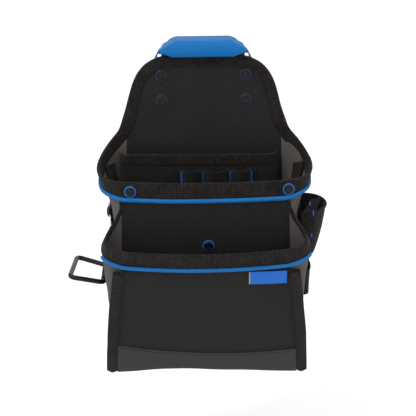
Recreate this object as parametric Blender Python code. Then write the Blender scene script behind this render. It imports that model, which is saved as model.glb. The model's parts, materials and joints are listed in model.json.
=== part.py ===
"""Electrician's tool pouch: two stacked open pockets sewn to a stiff, arched back panel.

The pouch hangs from a belt by a moulded clip at its top.  A steel hammer loop swings on
its left side and two tool sleeves are sewn to its right side.  Dimensions are in
millimetres in pouch coordinates: X to the wearer's left, Y from the front to the back with
the front face of the back panel at zero, Z up from the base.  One empty moves the whole
model so that the world origin is on the belt seat, under the bridge of the clip.
"""
import math

import bmesh
import bpy
from mathutils import Matrix, Vector

MM = 0.001

# Sheet materials and the gaps between neighbours
FABRIC = 1.6
TAPE = 1.0
GAP = 0.4
SEAM_GAP = 0.6

# Back panel: three layers from the front to the back, and its half outline from the top down
PANEL_LAYER = 1.0
STIFFENER_LAYER = 1.2
STIFFENER_INSET = 0.8
LAYER_GAP = 0.3
ARCH_BASE_Z = 300.0
BASE_Z = 2.2
BACK_OUTLINE = [(43.0, 336.0), (51.0, 333.0), (60.0, 327.5), (67.0, 319.0), (72.0, 309.0),
                (75.5, 297.0), (79.5, 281.0), (83.0, 268.0), (84.5, 255.0), (85.5, 200.0),
                (90.0, 150.0), (93.5, 100.0), (96.5, 50.0), (98.5, BASE_Z)]

# Upper pocket: height of its front, and the plan curve of its side gussets by height
UPPER_RIM_Z = 220.5
UPPER_RIM_SAG = 2.0
UPPER_DEPTH = 60.0
UPPER_BASE_DEPTH = 22.0
UPPER_BOW = 2.5
UPPER_START_Y = -2.7
UPPER_MIN_BULGE = 101.5
UPPER_BULGE_SPAN = 15.5
UPPER_SPREAD = 11.0
UPPER_BACK_X = [(0.0, 95.0), (50.0, 93.0), (100.0, 90.0), (150.0, 86.5), (200.0, 82.0), (265.0, 80.0)]
UPPER_SEAM_X = [(0.0, 90.0), (150.0, 87.0), (220.5, 86.0)]
UPPER_BULGE_X = [(0.0, 204.0), (100.0, 203.0), (185.0, 203.0), (203.0, 207.0),
                 (238.0, 232.0), (265.0, 235.0)]
UPPER_EDGE_Z = [(0.0, 265.0), (0.12, 257.0), (0.26, 246.0), (0.40, 236.5), (0.55, 229.0),
                (0.68, 224.5), (0.85, 221.5), (1.0, 220.5)]

# Lower pocket
LOWER_RIM_Z = 157.0
LOWER_RIM_SAG = 3.0
LOWER_DEPTH = 95.0
LOWER_BASE_DEPTH = 33.0
LOWER_BELLY = 3.0
LOWER_BOW = 5.0
LOWER_START = 4.4
LOWER_BACK_X = [(0.0, 88.0), (150.0, 84.0), (200.0, 83.0)]
LOWER_SEAM_X = [(0.0, 94.0), (55.0, 91.0), (98.0, 87.0), (135.0, 83.0), (157.0, 82.0)]
LOWER_BULGE_X = [(0.0, 205.0), (75.0, 206.0), (125.0, 214.0), (157.0, 224.0), (200.0, 224.0)]
LOWER_TUCK = [(0.0, 2.8), (135.5, 2.8), (146.0, 0.0)]
LOWER_EDGE_Z = [(0.0, 193.0), (0.15, 184.0), (0.3, 173.0), (0.5, 163.0), (0.75, 158.0), (1.0, 157.0)]

# Front fins, where the lower front panel and its gussets are sewn together and bound
FIN_X = [(0.0, 107.5), (55.0, 104.5), (98.0, 100.0), (136.0, 95.0)]
FIN_TOP_Z = 134.0
UPPER_LEVELS = [(0.0, BASE_Z), (0.125, 50.0), (0.25, 100.0), (0.375, 150.0), (0.5, 180.0), (0.625, 190.0),
                (0.75, 203.0), (0.875, 214.0)]
LOWER_LEVELS = [(0.0, BASE_Z), (0.125, 28.0), (0.25, 56.0), (0.375, 84.0), (0.5, 110.0), (0.625, 135.5),
                (0.75, 146.0), (0.875, 152.0)]
FRONT_LEVELS = [(0.0, BASE_Z), (0.1, 20.0), (0.2, 40.0), (0.3, 60.0), (0.4, 80.0), (0.5, 100.0), (0.6, 118.0),
                (0.7, 133.0), (0.8, 134.8), (0.9, 146.0)]
FIN_TAPE = 10.5
FIN_INNER_TAPE = 3.0
FIN_TAPE_THICKNESS = 0.9
FIN_INSET = 1.6
FIN_ROWS = 10
FIN_FOOT_Z = 0.6

# Bound rims and piping
RIM_BAND = 16.5
RIM_INNER_BAND = 13.0
SLOPE_BAND = 11.0
RIM_END = 0.44
PIPING_RADIUS = 2.2
PIPING_CLEARANCE = 1.0
ARCH_TAPE = 10.0
ARCH_END_Z = 269.0
SIDE_TAPE_TOP_Z = 263.0

# Toe guard and base
TOE_Z = (35.0, 26.0, 31.0)
TOE_FOOT_Z = 0.2
TOE_THICKNESS = 1.2
TOE_CLEARANCE = 2.6
BASE_THICKNESS = 1.6
BASE_CLEARANCE = 3.0

# Inner pocket with its row of tool loops
INNER_TOP_Z = 237.0
INNER_BASE_Z = 122.0
INNER_LEFT_X = -89.5
INNER_RIGHT_X = 75.0
INNER_LEFT_DEPTH = 0.5
INNER_RIGHT_DEPTH = 0.15
INNER_DEPTH = 17.0
INNER_FOOT = 0.6
INNER_TAPE = 10.5
INNER_PANEL = 1.3
LOOP_WEBBING = 1.3
LOOP_STOPS = (-24.0, -2.0, 26.5, 48.5)
LOOP_BULGES = (9.5, 12.5, 9.5)
LOOP_Z = (176.0, 222.0)
LOOP_HEM = 5.0
BARTACK = (1.5, 0.8, 17.0)
BARTACK_DROP = 9.5
BARTACK_STAND_OFF = 5.7

# Webbing patches inside the upper gussets
PATCH_START = 0.22
PATCH_WIDTH = 0.20
PATCH_Z = (201.0, 227.0)
PATCH_CLEARANCE = 1.8
PATCH_THICKNESS = 0.9

# Belt clip
CLIP_FRONT_Y = -8.5
CLIP_LIP = 3.6
CLIP_PLATE_Y = 5.6
CLIP_PLATE = 3.0
CLIP_TOP_Z = 354.0
CLIP_LIP_Z = 337.5
CLIP_FOOT_Z = 277.0
SEAT_Z = 346.0
BELT_GAP = 9.6
TONGUE = 3.0
TONGUE_TIP_Z = 262.0

# Rivets
RIVET_CAP_RADIUS = 5.0
RIVET_WASHER_RADIUS = 6.2
RIVET_WASHER = 0.8
RIVET_DOME = 1.7
RIVET_SHANK_RADIUS = 1.9
RIVET_SEAT_GAP = 0.3
RIVET_RIM = 0.6
RIM_RIVET_DROP = 8.6
STRAP_RIVET_DROP = 8.5
RIM_RIVET_X = (-76.0, 84.0)
CENTRE_RIVET = (1.515, 152.0)
CLIP_RIVET_X = 43.5
CLIP_RIVET_Z = (317.5, 291.0)

# Hammer loop
ROD_RADIUS = 2.6
LOOP_AXIS_X = -106.0
LOOP_AXIS_Z = 110.0
LOOP_REACH = 36.0
LOOP_RISE = math.radians(15.0)
LOOP_INNER_Y = (-50.0, 2.0)
LOOP_OUTER_Y = (-57.0, 7.0)
LOOP_STRAP_Y = (-42.0, -8.0)
LOOP_STRAP_TOP_Z = 188.0
STRAP_SET_BACK = 0.2
STRAP_WEBBING = 1.4
LOOP_CORNER = 7.0
LOOP_TAPER = 4.0

# Side sleeves on the right
SLEEVE_PATCH = 1.2
SLEEVE_TILT = 4.0
SLEEVE_PATCH_Y = (-48.0, -8.0)
SLEEVE_PATCH_Z = (82.0, 187.0)
SLEEVE_PATCH_X = (100.5, 104.0)

SEAT_Y = CLIP_PLATE_Y + CLIP_PLATE + BELT_GAP / 2.0
ORIGIN = Vector((0.0, SEAT_Y, SEAT_Z))

BLACK_WEAVE = (0.022, 0.021, 0.021)
BLACK_TAPE = (0.030, 0.027, 0.025)
GREY_CLOTH = (0.115, 0.105, 0.098)
DARK_VINYL = (0.040, 0.040, 0.041)
BLUE_TRIM = (0.010, 0.165, 0.560)
BLUE_PLASTIC = (0.012, 0.125, 0.430)
BLUE_LABEL = (0.015, 0.110, 0.500)
BLACK_METAL = (0.020, 0.020, 0.021)
BOARD = (0.050, 0.050, 0.052)


def clear_scene():
    for obj in list(bpy.data.objects):
        bpy.data.objects.remove(obj, do_unlink=True)


def material(name, colour, roughness, metallic=0.0):
    made = bpy.data.materials.new(name)
    made.use_nodes = True
    shader = made.node_tree.nodes["Principled BSDF"]
    shader.inputs["Base Color"].default_value = (*colour, 1.0)
    shader.inputs["Roughness"].default_value = roughness
    shader.inputs["Metallic"].default_value = metallic
    return made


def along(table, value):
    """The value of a table of (position, value) pairs, straight between its rows."""
    if value <= table[0][0]:
        return table[0][1]
    for (low, first), (high, second) in zip(table, table[1:]):
        if value <= high:
            return first + (second - first) * (value - low) / (high - low)
    return table[-1][1]


def bezier(points, t):
    """A point on a cubic curve with the four control points given."""
    a, b, c, d = points
    s = 1.0 - t
    return a * s ** 3 + b * 3.0 * t * s * s + c * 3.0 * t * t * s + d * t ** 3


def finish_object(name, bm, look, parent, origin=Vector((0.0, 0.0, 0.0)), smooth=False):
    """Turns a bmesh in pouch millimetres into a named object with its origin where asked."""
    bmesh.ops.recalc_face_normals(bm, faces=bm.faces)
    bmesh.ops.transform(bm, matrix=Matrix.Translation(-origin), verts=bm.verts)
    bmesh.ops.scale(bm, vec=(MM, MM, MM), verts=bm.verts)
    mesh = bpy.data.meshes.new(name)
    bm.to_mesh(mesh)
    bm.free()
    mesh.materials.append(look)
    if smooth:
        mesh.shade_smooth()
        mesh.set_sharp_from_angle(angle=math.radians(40.0))
    obj = bpy.data.objects.new(name, mesh)
    bpy.context.collection.objects.link(obj)
    obj.parent = parent
    obj.location = origin * MM
    return obj


def sheet(surface, columns, rows, thickness):
    """A closed slab: the surface and a copy of it moved by the thickness along its normals.

    The surface takes u and v from 0 to 1, and the slab grows towards du x dv.
    """
    step = 1e-3
    bm = bmesh.new()
    near = []
    far = []
    for j in range(rows + 1):
        v = j / rows
        for i in range(columns + 1):
            u = i / columns
            point = surface(u, v)
            along_u = surface(min(u + step, 1.0), v) - surface(max(u - step, 0.0), v)
            along_v = surface(u, min(v + step, 1.0)) - surface(u, max(v - step, 0.0))
            normal = along_u.cross(along_v).normalized()
            near.append(bm.verts.new(point))
            far.append(bm.verts.new(point + normal * thickness))
    width = columns + 1

    def quad(layer, a, b, c, d):
        bm.faces.new([layer[a], layer[b], layer[c], layer[d]])

    for j in range(rows):
        for i in range(columns):
            a = j * width + i
            quad(near, a, a + width, a + width + 1, a + 1)
            quad(far, a, a + 1, a + width + 1, a + width)
    rim = list(range(width))
    rim += [j * width + columns for j in range(1, rows + 1)]
    rim += [rows * width + i for i in range(columns - 1, -1, -1)]
    rim += [j * width for j in range(rows - 1, 0, -1)]
    for a, b in zip(rim, rim[1:] + rim[:1]):
        bm.faces.new([near[a], near[b], far[b], far[a]])
    return bm


def sweep(stations, profile, cyclic=False):
    """A closed solid: the profile of (u, v) points carried along (origin, u axis, v axis)."""
    bm = bmesh.new()
    rings = []
    for origin, u_axis, v_axis in stations:
        rings.append([bm.verts.new(origin + u_axis * u + v_axis * v) for u, v in profile])
    pairs = list(zip(rings, rings[1:]))
    if cyclic:
        pairs.append((rings[-1], rings[0]))
    count = len(profile)
    for first, second in pairs:
        for i in range(count):
            j = (i + 1) % count
            bm.faces.new([first[i], first[j], second[j], second[i]])
    if not cyclic:
        bm.faces.new(rings[0])
        bm.faces.new(list(reversed(rings[-1])))
    return bm


def prism(outline, low, high, axis):
    """An outline of (a, b) points pushed from low to high along X or Y."""
    bm = bmesh.new()

    def place(a, b, depth):
        if axis == "x":
            return Vector((depth, a, b))
        return Vector((a, depth, b))

    near = [bm.verts.new(place(a, b, low)) for a, b in outline]
    far = [bm.verts.new(place(a, b, high)) for a, b in outline]
    bm.faces.new(near)
    bm.faces.new(list(reversed(far)))
    for i in range(len(outline)):
        j = (i + 1) % len(outline)
        bm.faces.new([near[i], far[i], far[j], near[j]])
    return bm


def turned(profile, centre, axis, segments=20):
    """A solid of revolution from (radius, height) points, from one end of the axis to the other."""
    turn = axis.to_track_quat("Z", "Y").to_matrix()
    bm = bmesh.new()
    rings = []
    for radius, height in profile:
        if radius == 0.0:
            rings.append([bm.verts.new(centre + turn @ Vector((0.0, 0.0, height)))])
            continue
        ring = []
        for k in range(segments):
            angle = 2.0 * math.pi * k / segments
            spoke = Vector((radius * math.cos(angle), radius * math.sin(angle), height))
            ring.append(bm.verts.new(centre + turn @ spoke))
        rings.append(ring)
    for first, second in zip(rings, rings[1:]):
        for k in range(segments):
            m = (k + 1) % segments
            corners = [first[k % len(first)], first[m % len(first)],
                       second[m % len(second)], second[k % len(second)]]
            bm.faces.new(list(dict.fromkeys(corners)))
    if profile[0] == profile[-1]:
        bmesh.ops.remove_doubles(bm, verts=bm.verts, dist=1e-6)
    return bm


# ---------------------------------------------------------------- walls of the two pockets

def upper_front_y(z):
    """Inner face of the upper front panel on the centre line."""
    rise = min(z / UPPER_RIM_Z, 1.0)
    return -(UPPER_BASE_DEPTH + (UPPER_DEPTH - UPPER_BASE_DEPTH) * (1.0 - (1.0 - rise) ** 2))


def lower_front_y(z):
    """Inner face of the lower front panel on the centre line."""
    rise = min(z / LOWER_RIM_Z, 1.0)
    belly = LOWER_BELLY * math.sin(math.pi * rise)
    return -(LOWER_BASE_DEPTH + (LOWER_DEPTH - LOWER_BASE_DEPTH) * rise + belly)


def lower_bow(z):
    return LOWER_BOW * min(z / LOWER_RIM_Z, 1.0)


def upper_gusset_point(t, z):
    """Right-hand gusset of the upper pocket: t runs from the back panel to the front seam."""
    depth = upper_front_y(z) + UPPER_BOW
    bulge = along(UPPER_BULGE_X, z) / 2.0
    spread = UPPER_SPREAD * (bulge - UPPER_MIN_BULGE) / UPPER_BULGE_SPAN
    start = Vector((along(UPPER_BACK_X, z), UPPER_START_Y, z))
    first = Vector((bulge - spread, depth * 0.10, z))
    second = Vector((bulge + spread, depth * 0.87, z))
    end = Vector((along(UPPER_SEAM_X, z), depth, z))
    return bezier((start, first, second, end), t)


def lower_gusset_point(t, z):
    """Right-hand gusset of the lower pocket: t runs from the upper panel to the front seam."""
    front = lower_front_y(z) + lower_bow(z) + along(LOWER_TUCK, z)
    back = upper_front_y(z) + UPPER_BOW - LOWER_START
    bulge = along(LOWER_BULGE_X, z) / 2.0
    start = Vector((along(LOWER_BACK_X, z), back, z))
    first = Vector((bulge - 2.0, back - 0.5, z))
    second = Vector((bulge + 2.0, front + 0.28 * (back - front), z))
    end = Vector((along(LOWER_SEAM_X, z), front, z))
    return bezier((start, first, second, end), t)


def round_wall(gusset_point, seam_x, front_y, bow):
    """One wall from the left back corner (0) by the front seams (1, 2) to the right one (3)."""
    def point(q, z):
        if q <= 1.0:
            side = gusset_point(q, z)
            return Vector((-side.x, side.y, side.z))
        if q >= 2.0:
            return gusset_point(3.0 - q, z)
        across = 2.0 * (q - 1.5)
        return Vector((along(seam_x, z) * across, front_y(z) + bow(z) * across ** 2, z))
    return point


upper_wall = round_wall(upper_gusset_point, UPPER_SEAM_X, upper_front_y, lambda z: UPPER_BOW)
lower_wall = round_wall(lower_gusset_point, LOWER_SEAM_X, lower_front_y, lower_bow)


def edge_height(q, edge_table, sag):
    """Height of a pocket's top edge along the wall."""
    if q <= 1.0:
        return along(edge_table, q)
    if q >= 2.0:
        return along(edge_table, 3.0 - q)
    across = 2.0 * (q - 1.5)
    return edge_table[-1][1] - sag * (1.0 - across ** 2)


def wall_frame(wall, q, z):
    """Point, downward direction and outward normal of a wall."""
    point = wall(q, z)
    down = (wall(q, z - 8.0) - point).normalized()
    run = wall(min(q + 0.02, 3.0), z) - wall(max(q - 0.02, 0.0), z)
    return point, down, down.cross(run).normalized()


def rim_stations(wall, edge_table, sag, low, high, count):
    stations = []
    for k in range(count + 1):
        q = low + (high - low) * k / count
        stations.append(wall_frame(wall, q, edge_height(q, edge_table, sag)))
    return stations


def fold_profile(outer, inner, thickness, tape=TAPE):
    """Tape folded over an edge: u runs down from the edge, v outward from the inner face."""
    out = thickness + SEAM_GAP
    return [(-GAP - tape, -SEAM_GAP - tape), (-GAP - tape, out + tape), (outer, out + tape),
            (outer, out), (-GAP, out), (-GAP, -SEAM_GAP), (inner, -SEAM_GAP), (inner, -SEAM_GAP - tape)]


# ---------------------------------------------------------------------------- sub-parts

def back_outline(inset=0.0):
    """Closed outline of the back panel, drawn in from its edge by the inset."""
    right = [(x - inset, z - (inset if z > ARCH_BASE_Z else 0.0)) for x, z in BACK_OUTLINE]
    return right + [(-x, z) for x, z in reversed(right)]


def make_back(frame, looks):
    layers = (("back_panel", PANEL_LAYER, looks["weave"], 0.0),
              ("back_stiffener", STIFFENER_LAYER, looks["board"], STIFFENER_INSET),
              ("back_lining", PANEL_LAYER, looks["weave"], 0.0))
    y = 0.0
    for name, thickness, look, inset in layers:
        finish_object(name, prism(back_outline(inset), y, y + thickness, "y"), look, frame)
        y += thickness + LAYER_GAP
    return y - LAYER_GAP


def make_gussets(frame, looks):
    for side, sign in (("left", -1.0), ("right", 1.0)):
        def upper(u, v, sign=sign):
            z = along(UPPER_LEVELS + [(1.0, along(UPPER_EDGE_Z, u))], v)
            point = upper_gusset_point(u * 0.99, z)
            return Vector((sign * point.x, point.y, point.z))

        def lower(u, v, sign=sign):
            z = along(LOWER_LEVELS + [(1.0, along(LOWER_EDGE_Z, u))], v)
            point = lower_gusset_point(u * 0.985, z)
            return Vector((sign * point.x, point.y, point.z))

        thickness = -sign * FABRIC
        finish_object("upper_gusset_" + side, sheet(upper, 16, 8, thickness), looks["grey"], frame,
                      smooth=True)
        finish_object("lower_gusset_" + side, sheet(lower, 14, 8, thickness), looks["grey"], frame,
                      smooth=True)


def make_fronts(frame, looks):
    def upper(u, v):
        q = 1.005 + 0.99 * u
        z = BASE_Z + (edge_height(q, UPPER_EDGE_Z, UPPER_RIM_SAG) - BASE_Z) * v
        return upper_wall(q, z)

    def lower(u, v):
        across = 2.0 * u - 1.0
        q = 1.5 + 0.5 * across
        z = along(FRONT_LEVELS + [(1.0, edge_height(q, LOWER_EDGE_Z, LOWER_RIM_SAG))], v)
        half = along(FIN_X, z) - FIN_INSET if z < FIN_TOP_Z else along(LOWER_SEAM_X, z) - SEAM_GAP
        return Vector((half * across, lower_front_y(z) + lower_bow(z) * across ** 2, z))

    finish_object("upper_front_panel", sheet(upper, 8, 9, FABRIC), looks["weave"], frame, smooth=True)
    finish_object("lower_front_panel", sheet(lower, 8, 10, FABRIC), looks["weave"], frame, smooth=True)

    def toe(u, v):
        across = 2.0 * u - 1.0
        left, middle, right = TOE_Z
        top = middle + ((right - left) / 2.0) * across + ((left + right) / 2.0 - middle) * across ** 2
        z = TOE_FOOT_Z + (top - TOE_FOOT_Z) * v
        half = along(FIN_X, z) - FIN_TAPE - TOE_CLEARANCE
        y = lower_front_y(z) + lower_bow(z) * across ** 2 - FABRIC - GAP
        return Vector((half * across, y, z))

    finish_object("toe_guard", sheet(toe, 8, 3, TOE_THICKNESS), looks["vinyl"], frame, smooth=True)
    front = LOWER_BASE_DEPTH - SEAM_GAP
    half_back = BACK_OUTLINE[-1][0] - BASE_CLEARANCE
    half_front = FIN_X[0][1] - FIN_TAPE - BASE_CLEARANCE
    bm = bmesh.new()
    corners = [(-half_back, BASE_CLEARANCE), (half_back, BASE_CLEARANCE), (half_front, -front),
               (-half_front, -front)]
    low = [bm.verts.new((x, y, 0.0)) for x, y in corners]
    high = [bm.verts.new((x, y, BASE_THICKNESS)) for x, y in corners]
    bm.faces.new(low)
    bm.faces.new(list(reversed(high)))
    for i in range(4):
        j = (i + 1) % 4
        bm.faces.new([low[i], high[i], high[j], low[j]])
    finish_object("base_panel", bm, looks["vinyl"], frame)


def make_rims(frame, looks):
    rim = fold_profile(RIM_BAND, RIM_INNER_BAND, FABRIC)
    slope = fold_profile(SLOPE_BAND, SLOPE_BAND, FABRIC)
    upper = rim_stations(upper_wall, UPPER_EDGE_Z, UPPER_RIM_SAG, RIM_END, 3.0 - RIM_END, 34)
    finish_object("upper_rim_binding", sweep(upper, rim), looks["tape"], frame, smooth=True)
    lower = rim_stations(lower_wall, LOWER_EDGE_Z, LOWER_RIM_SAG, 0.5, 2.5, 30)
    finish_object("lower_rim_binding", sweep(lower, rim), looks["tape"], frame, smooth=True)
    spans = (("left", 0.10, RIM_END - 0.01, 0.05, 0.49), ("right", 3.01 - RIM_END, 2.90, 2.51, 2.95))
    for side, low, high, low_2, high_2 in spans:
        first = rim_stations(upper_wall, UPPER_EDGE_Z, 0.0, low, high, 10)
        finish_object("upper_slope_binding_" + side, sweep(first, slope), looks["tape"], frame, smooth=True)
        second = rim_stations(lower_wall, LOWER_EDGE_Z, 0.0, low_2, high_2, 10)
        finish_object("lower_slope_binding_" + side, sweep(second, slope), looks["tape"], frame, smooth=True)


def piping(wall, edge_table, sag, low, high, count):
    """Round piping that lies on a wall, just under the tape of its rim."""
    drop = RIM_BAND + PIPING_RADIUS + GAP
    stations = []
    for k in range(count + 1):
        q = low + (high - low) * k / count
        z = edge_height(q, edge_table, sag)
        slope = abs(wall_frame(wall, q, z)[1].z)
        point, down, outward = wall_frame(wall, q, z - drop * slope)
        stations.append((point + outward * (FABRIC + SEAM_GAP + PIPING_CLEARANCE + PIPING_RADIUS), down,
                         outward))
    circle = []
    for k in range(8):
        angle = 2.0 * math.pi * k / 8.0
        circle.append((PIPING_RADIUS * math.cos(angle), PIPING_RADIUS * math.sin(angle)))
    return sweep(stations, circle)


def make_piping(frame, looks):
    upper = piping(upper_wall, UPPER_EDGE_Z, UPPER_RIM_SAG, RIM_END + 0.02, 2.98 - RIM_END, 34)
    finish_object("upper_rim_piping", upper, looks["trim"], frame, smooth=True)
    lower = piping(lower_wall, LOWER_EDGE_Z, LOWER_RIM_SAG, 0.52, 2.48, 30)
    finish_object("lower_rim_piping", lower, looks["trim"], frame, smooth=True)


def arch_stations():
    """Edge of the back panel from its left shoulder over the top to the right shoulder."""
    half = [p for p in BACK_OUTLINE if p[1] >= ARCH_END_Z]
    points = [(-x, z) for x, z in reversed(half)] + half
    stations = []
    for i, (x, z) in enumerate(points):
        before = points[max(i - 1, 0)]
        after = points[min(i + 1, len(points) - 1)]
        run = Vector((after[0] - before[0], 0.0, after[1] - before[1])).normalized()
        inward = Vector((run.z, 0.0, -run.x))
        stations.append((Vector((x, 0.0, z)), inward, Vector((0.0, 1.0, 0.0))))
    return stations


def fin_point(sign, across, z):
    """Inner face of the lower front panel, the part across of the way out to its bound edge."""
    half = along(FIN_X, z) - FIN_INSET
    return Vector((sign * across * half, lower_front_y(z) + lower_bow(z) * across ** 2, z))


def make_edge_tapes(frame, looks, stack):
    fold = fold_profile(ARCH_TAPE, ARCH_TAPE, stack)
    finish_object("arch_binding", sweep(arch_stations(), fold), looks["tape"], frame, smooth=True)
    for side, sign in (("left", -1.0), ("right", 1.0)):
        back = []
        for x, z in (p for p in BACK_OUTLINE if p[1] < SIDE_TAPE_TOP_Z):
            back.append((Vector((sign * x, 0.0, z)), Vector((-sign, 0.0, 0.0)), Vector((0.0, 1.0, 0.0))))
        hook = [(-GAP - TAPE, 0.0), (-GAP - TAPE, stack + GAP + TAPE), (SLOPE_BAND, stack + GAP + TAPE),
                (SLOPE_BAND, stack + GAP), (-GAP, stack + GAP), (-GAP, 0.0)]
        finish_object("back_side_binding_" + side, sweep(back, hook), looks["tape"], frame, smooth=True)
        fin = []
        for k in range(FIN_ROWS + 1):
            z = FIN_FOOT_Z + (FIN_TOP_Z - 2.0) * k / FIN_ROWS
            edge = fin_point(sign, 1.0, z)
            inward = (fin_point(sign, 0.85, z) - edge).normalized()
            rise = (fin_point(sign, 1.0, z + 1.0) - edge).normalized()
            outward = rise.cross(inward) * sign
            fin.append((edge, inward, outward.normalized()))
        wrap = fold_profile(FIN_TAPE, FIN_INNER_TAPE, FABRIC, FIN_TAPE_THICKNESS)
        finish_object("front_side_binding_" + side, sweep(fin, wrap), looks["tape"], frame, smooth=True)


def inner_pocket_line(u):
    """Plan line of the inner pocket from its left to its right end, at full depth."""
    x = INNER_LEFT_X + (INNER_RIGHT_X - INNER_LEFT_X) * u
    end = min(u, 1.0 - u)
    least = INNER_LEFT_DEPTH if u < 0.5 else INNER_RIGHT_DEPTH
    depth = INNER_DEPTH * min(1.0, least + math.sin(min(end / 0.06, 1.0) * math.pi / 2.0))
    return x, min(depth, INNER_DEPTH)


def inner_pocket_y(z):
    """Rear face of the inner pocket's panel away from its ends."""
    level = (z - INNER_BASE_Z) / (INNER_TOP_Z - INNER_BASE_Z)
    return -INNER_DEPTH * (INNER_FOOT + (1.0 - INNER_FOOT) * level) - 0.5


def make_inner_pocket(frame, looks):
    def face(u, v):
        x, depth = inner_pocket_line(u)
        z = INNER_BASE_Z + (INNER_TOP_Z - INNER_BASE_Z) * v
        return Vector((x, -depth * (INNER_FOOT + (1.0 - INNER_FOOT) * v) - 0.5, z))

    finish_object("inner_pocket_panel", sheet(face, 20, 5, INNER_PANEL), looks["weave"], frame, smooth=True)
    stations = []
    for k in range(1, 20):
        u = k / 20.0
        if not 0.06 <= u <= 0.94:
            continue
        point = face(u, 1.0)
        down = (face(u, 0.9) - point).normalized()
        stations.append((point, down, Vector((0.0, down.z, -down.y)).normalized()))
    finish_object("inner_pocket_binding", sweep(stations, fold_profile(INNER_TAPE, INNER_TAPE, INNER_PANEL)),
                  looks["tape"], frame, smooth=True)

    def strap(u, v):
        x = LOOP_STOPS[0] - LOOP_HEM + (LOOP_STOPS[-1] - LOOP_STOPS[0] + 2.0 * LOOP_HEM) * u
        rise = 0.0
        for low, high, bulge in zip(LOOP_STOPS, LOOP_STOPS[1:], LOOP_BULGES):
            if low < x < high:
                rise = bulge * math.sin(math.pi * (x - low) / (high - low))
        z = LOOP_Z[0] + (LOOP_Z[1] - LOOP_Z[0]) * v
        return Vector((x, inner_pocket_y(z) - INNER_PANEL - 0.5 - rise, z))

    finish_object("tool_loop_strap", sheet(strap, 48, 2, LOOP_WEBBING), looks["tape"], frame, smooth=True)
    lean = math.atan(INNER_DEPTH * (1.0 - INNER_FOOT) / (INNER_TOP_Z - INNER_BASE_Z))
    for number, x in enumerate(LOOP_STOPS, start=1):
        z = LOOP_Z[1] - BARTACK_DROP
        y = inner_pocket_y(z) - BARTACK_STAND_OFF
        bm = bmesh.new()
        bmesh.ops.create_cube(bm, size=1.0)
        bmesh.ops.scale(bm, vec=BARTACK, verts=bm.verts)
        bmesh.ops.rotate(bm, matrix=Matrix.Rotation(lean, 3, "X"), verts=bm.verts)
        bmesh.ops.translate(bm, vec=(x, y, z), verts=bm.verts)
        finish_object("bartack_%d" % number, bm, looks["trim"], frame)


def make_rivet(name, frame, looks, seat, outward):
    """A domed black cap on a coloured washer, on the face at seat."""
    hole = RIVET_SHANK_RADIUS + GAP
    top = RIVET_SEAT_GAP + RIVET_WASHER
    washer = [(hole, RIVET_SEAT_GAP), (RIVET_WASHER_RADIUS, RIVET_SEAT_GAP), (RIVET_WASHER_RADIUS, top),
              (hole, top), (hole, RIVET_SEAT_GAP)]
    finish_object(name + "_washer", turned(washer, seat, outward), looks["trim"], frame, seat, smooth=True)
    low = top + RIVET_SEAT_GAP
    cap = [(0.0, RIVET_SEAT_GAP), (RIVET_SHANK_RADIUS, RIVET_SEAT_GAP), (RIVET_SHANK_RADIUS, low),
           (RIVET_CAP_RADIUS, low), (RIVET_CAP_RADIUS, low + RIVET_RIM)]
    for k in range(1, 4):
        angle = math.pi / 2.0 * k / 4.0
        rise = (RIVET_DOME - RIVET_RIM) * math.sin(angle)
        cap.append((RIVET_CAP_RADIUS * math.cos(angle), low + RIVET_RIM + rise))
    cap.append((0.0, low + RIVET_DOME))
    finish_object(name + "_cap", turned(cap, seat, outward), looks["metal"], frame, seat, smooth=True)


def make_rivets(frame, looks):
    front = Vector((0.0, -1.0, 0.0))
    for row, z in zip(("upper", "lower"), CLIP_RIVET_Z):
        for side, sign in (("left", -1.0), ("right", 1.0)):
            seat = Vector((sign * CLIP_RIVET_X, 0.0, z))
            make_rivet("clip_rivet_%s_%s" % (row, side), frame, looks, seat, front)
    for side, x in zip(("left", "right"), RIM_RIVET_X):
        q = 1.5 + 0.5 * x / UPPER_SEAM_X[-1][1]
        point, down, outward = wall_frame(upper_wall, q, edge_height(q, UPPER_EDGE_Z, UPPER_RIM_SAG))
        seat = point + down * RIM_RIVET_DROP + outward * (FABRIC + GAP + TAPE)
        make_rivet("rim_rivet_" + side, frame, looks, seat, outward)
    point, down, outward = wall_frame(upper_wall, *CENTRE_RIVET)
    make_rivet("centre_rivet", frame, looks, point + outward * FABRIC, outward)
    strap_face = Vector((LOOP_AXIS_X + ROD_RADIUS + STRAP_SET_BACK, sum(LOOP_STRAP_Y) / 2.0,
                         LOOP_STRAP_TOP_Z - STRAP_RIVET_DROP))
    make_rivet("strap_rivet", frame, looks, strap_face, Vector((-1.0, 0.0, 0.0)))


def add_boolean(obj, cutter, operation):
    modifier = obj.modifiers.new(cutter.name, "BOOLEAN")
    modifier.operation = operation
    modifier.solver = "EXACT"
    modifier.object = cutter
    cutter.hide_render = True
    cutter.display_type = "WIRE"


def mirrored_x(points):
    return points + [(-x, z) for x, z in reversed(points)]


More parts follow.
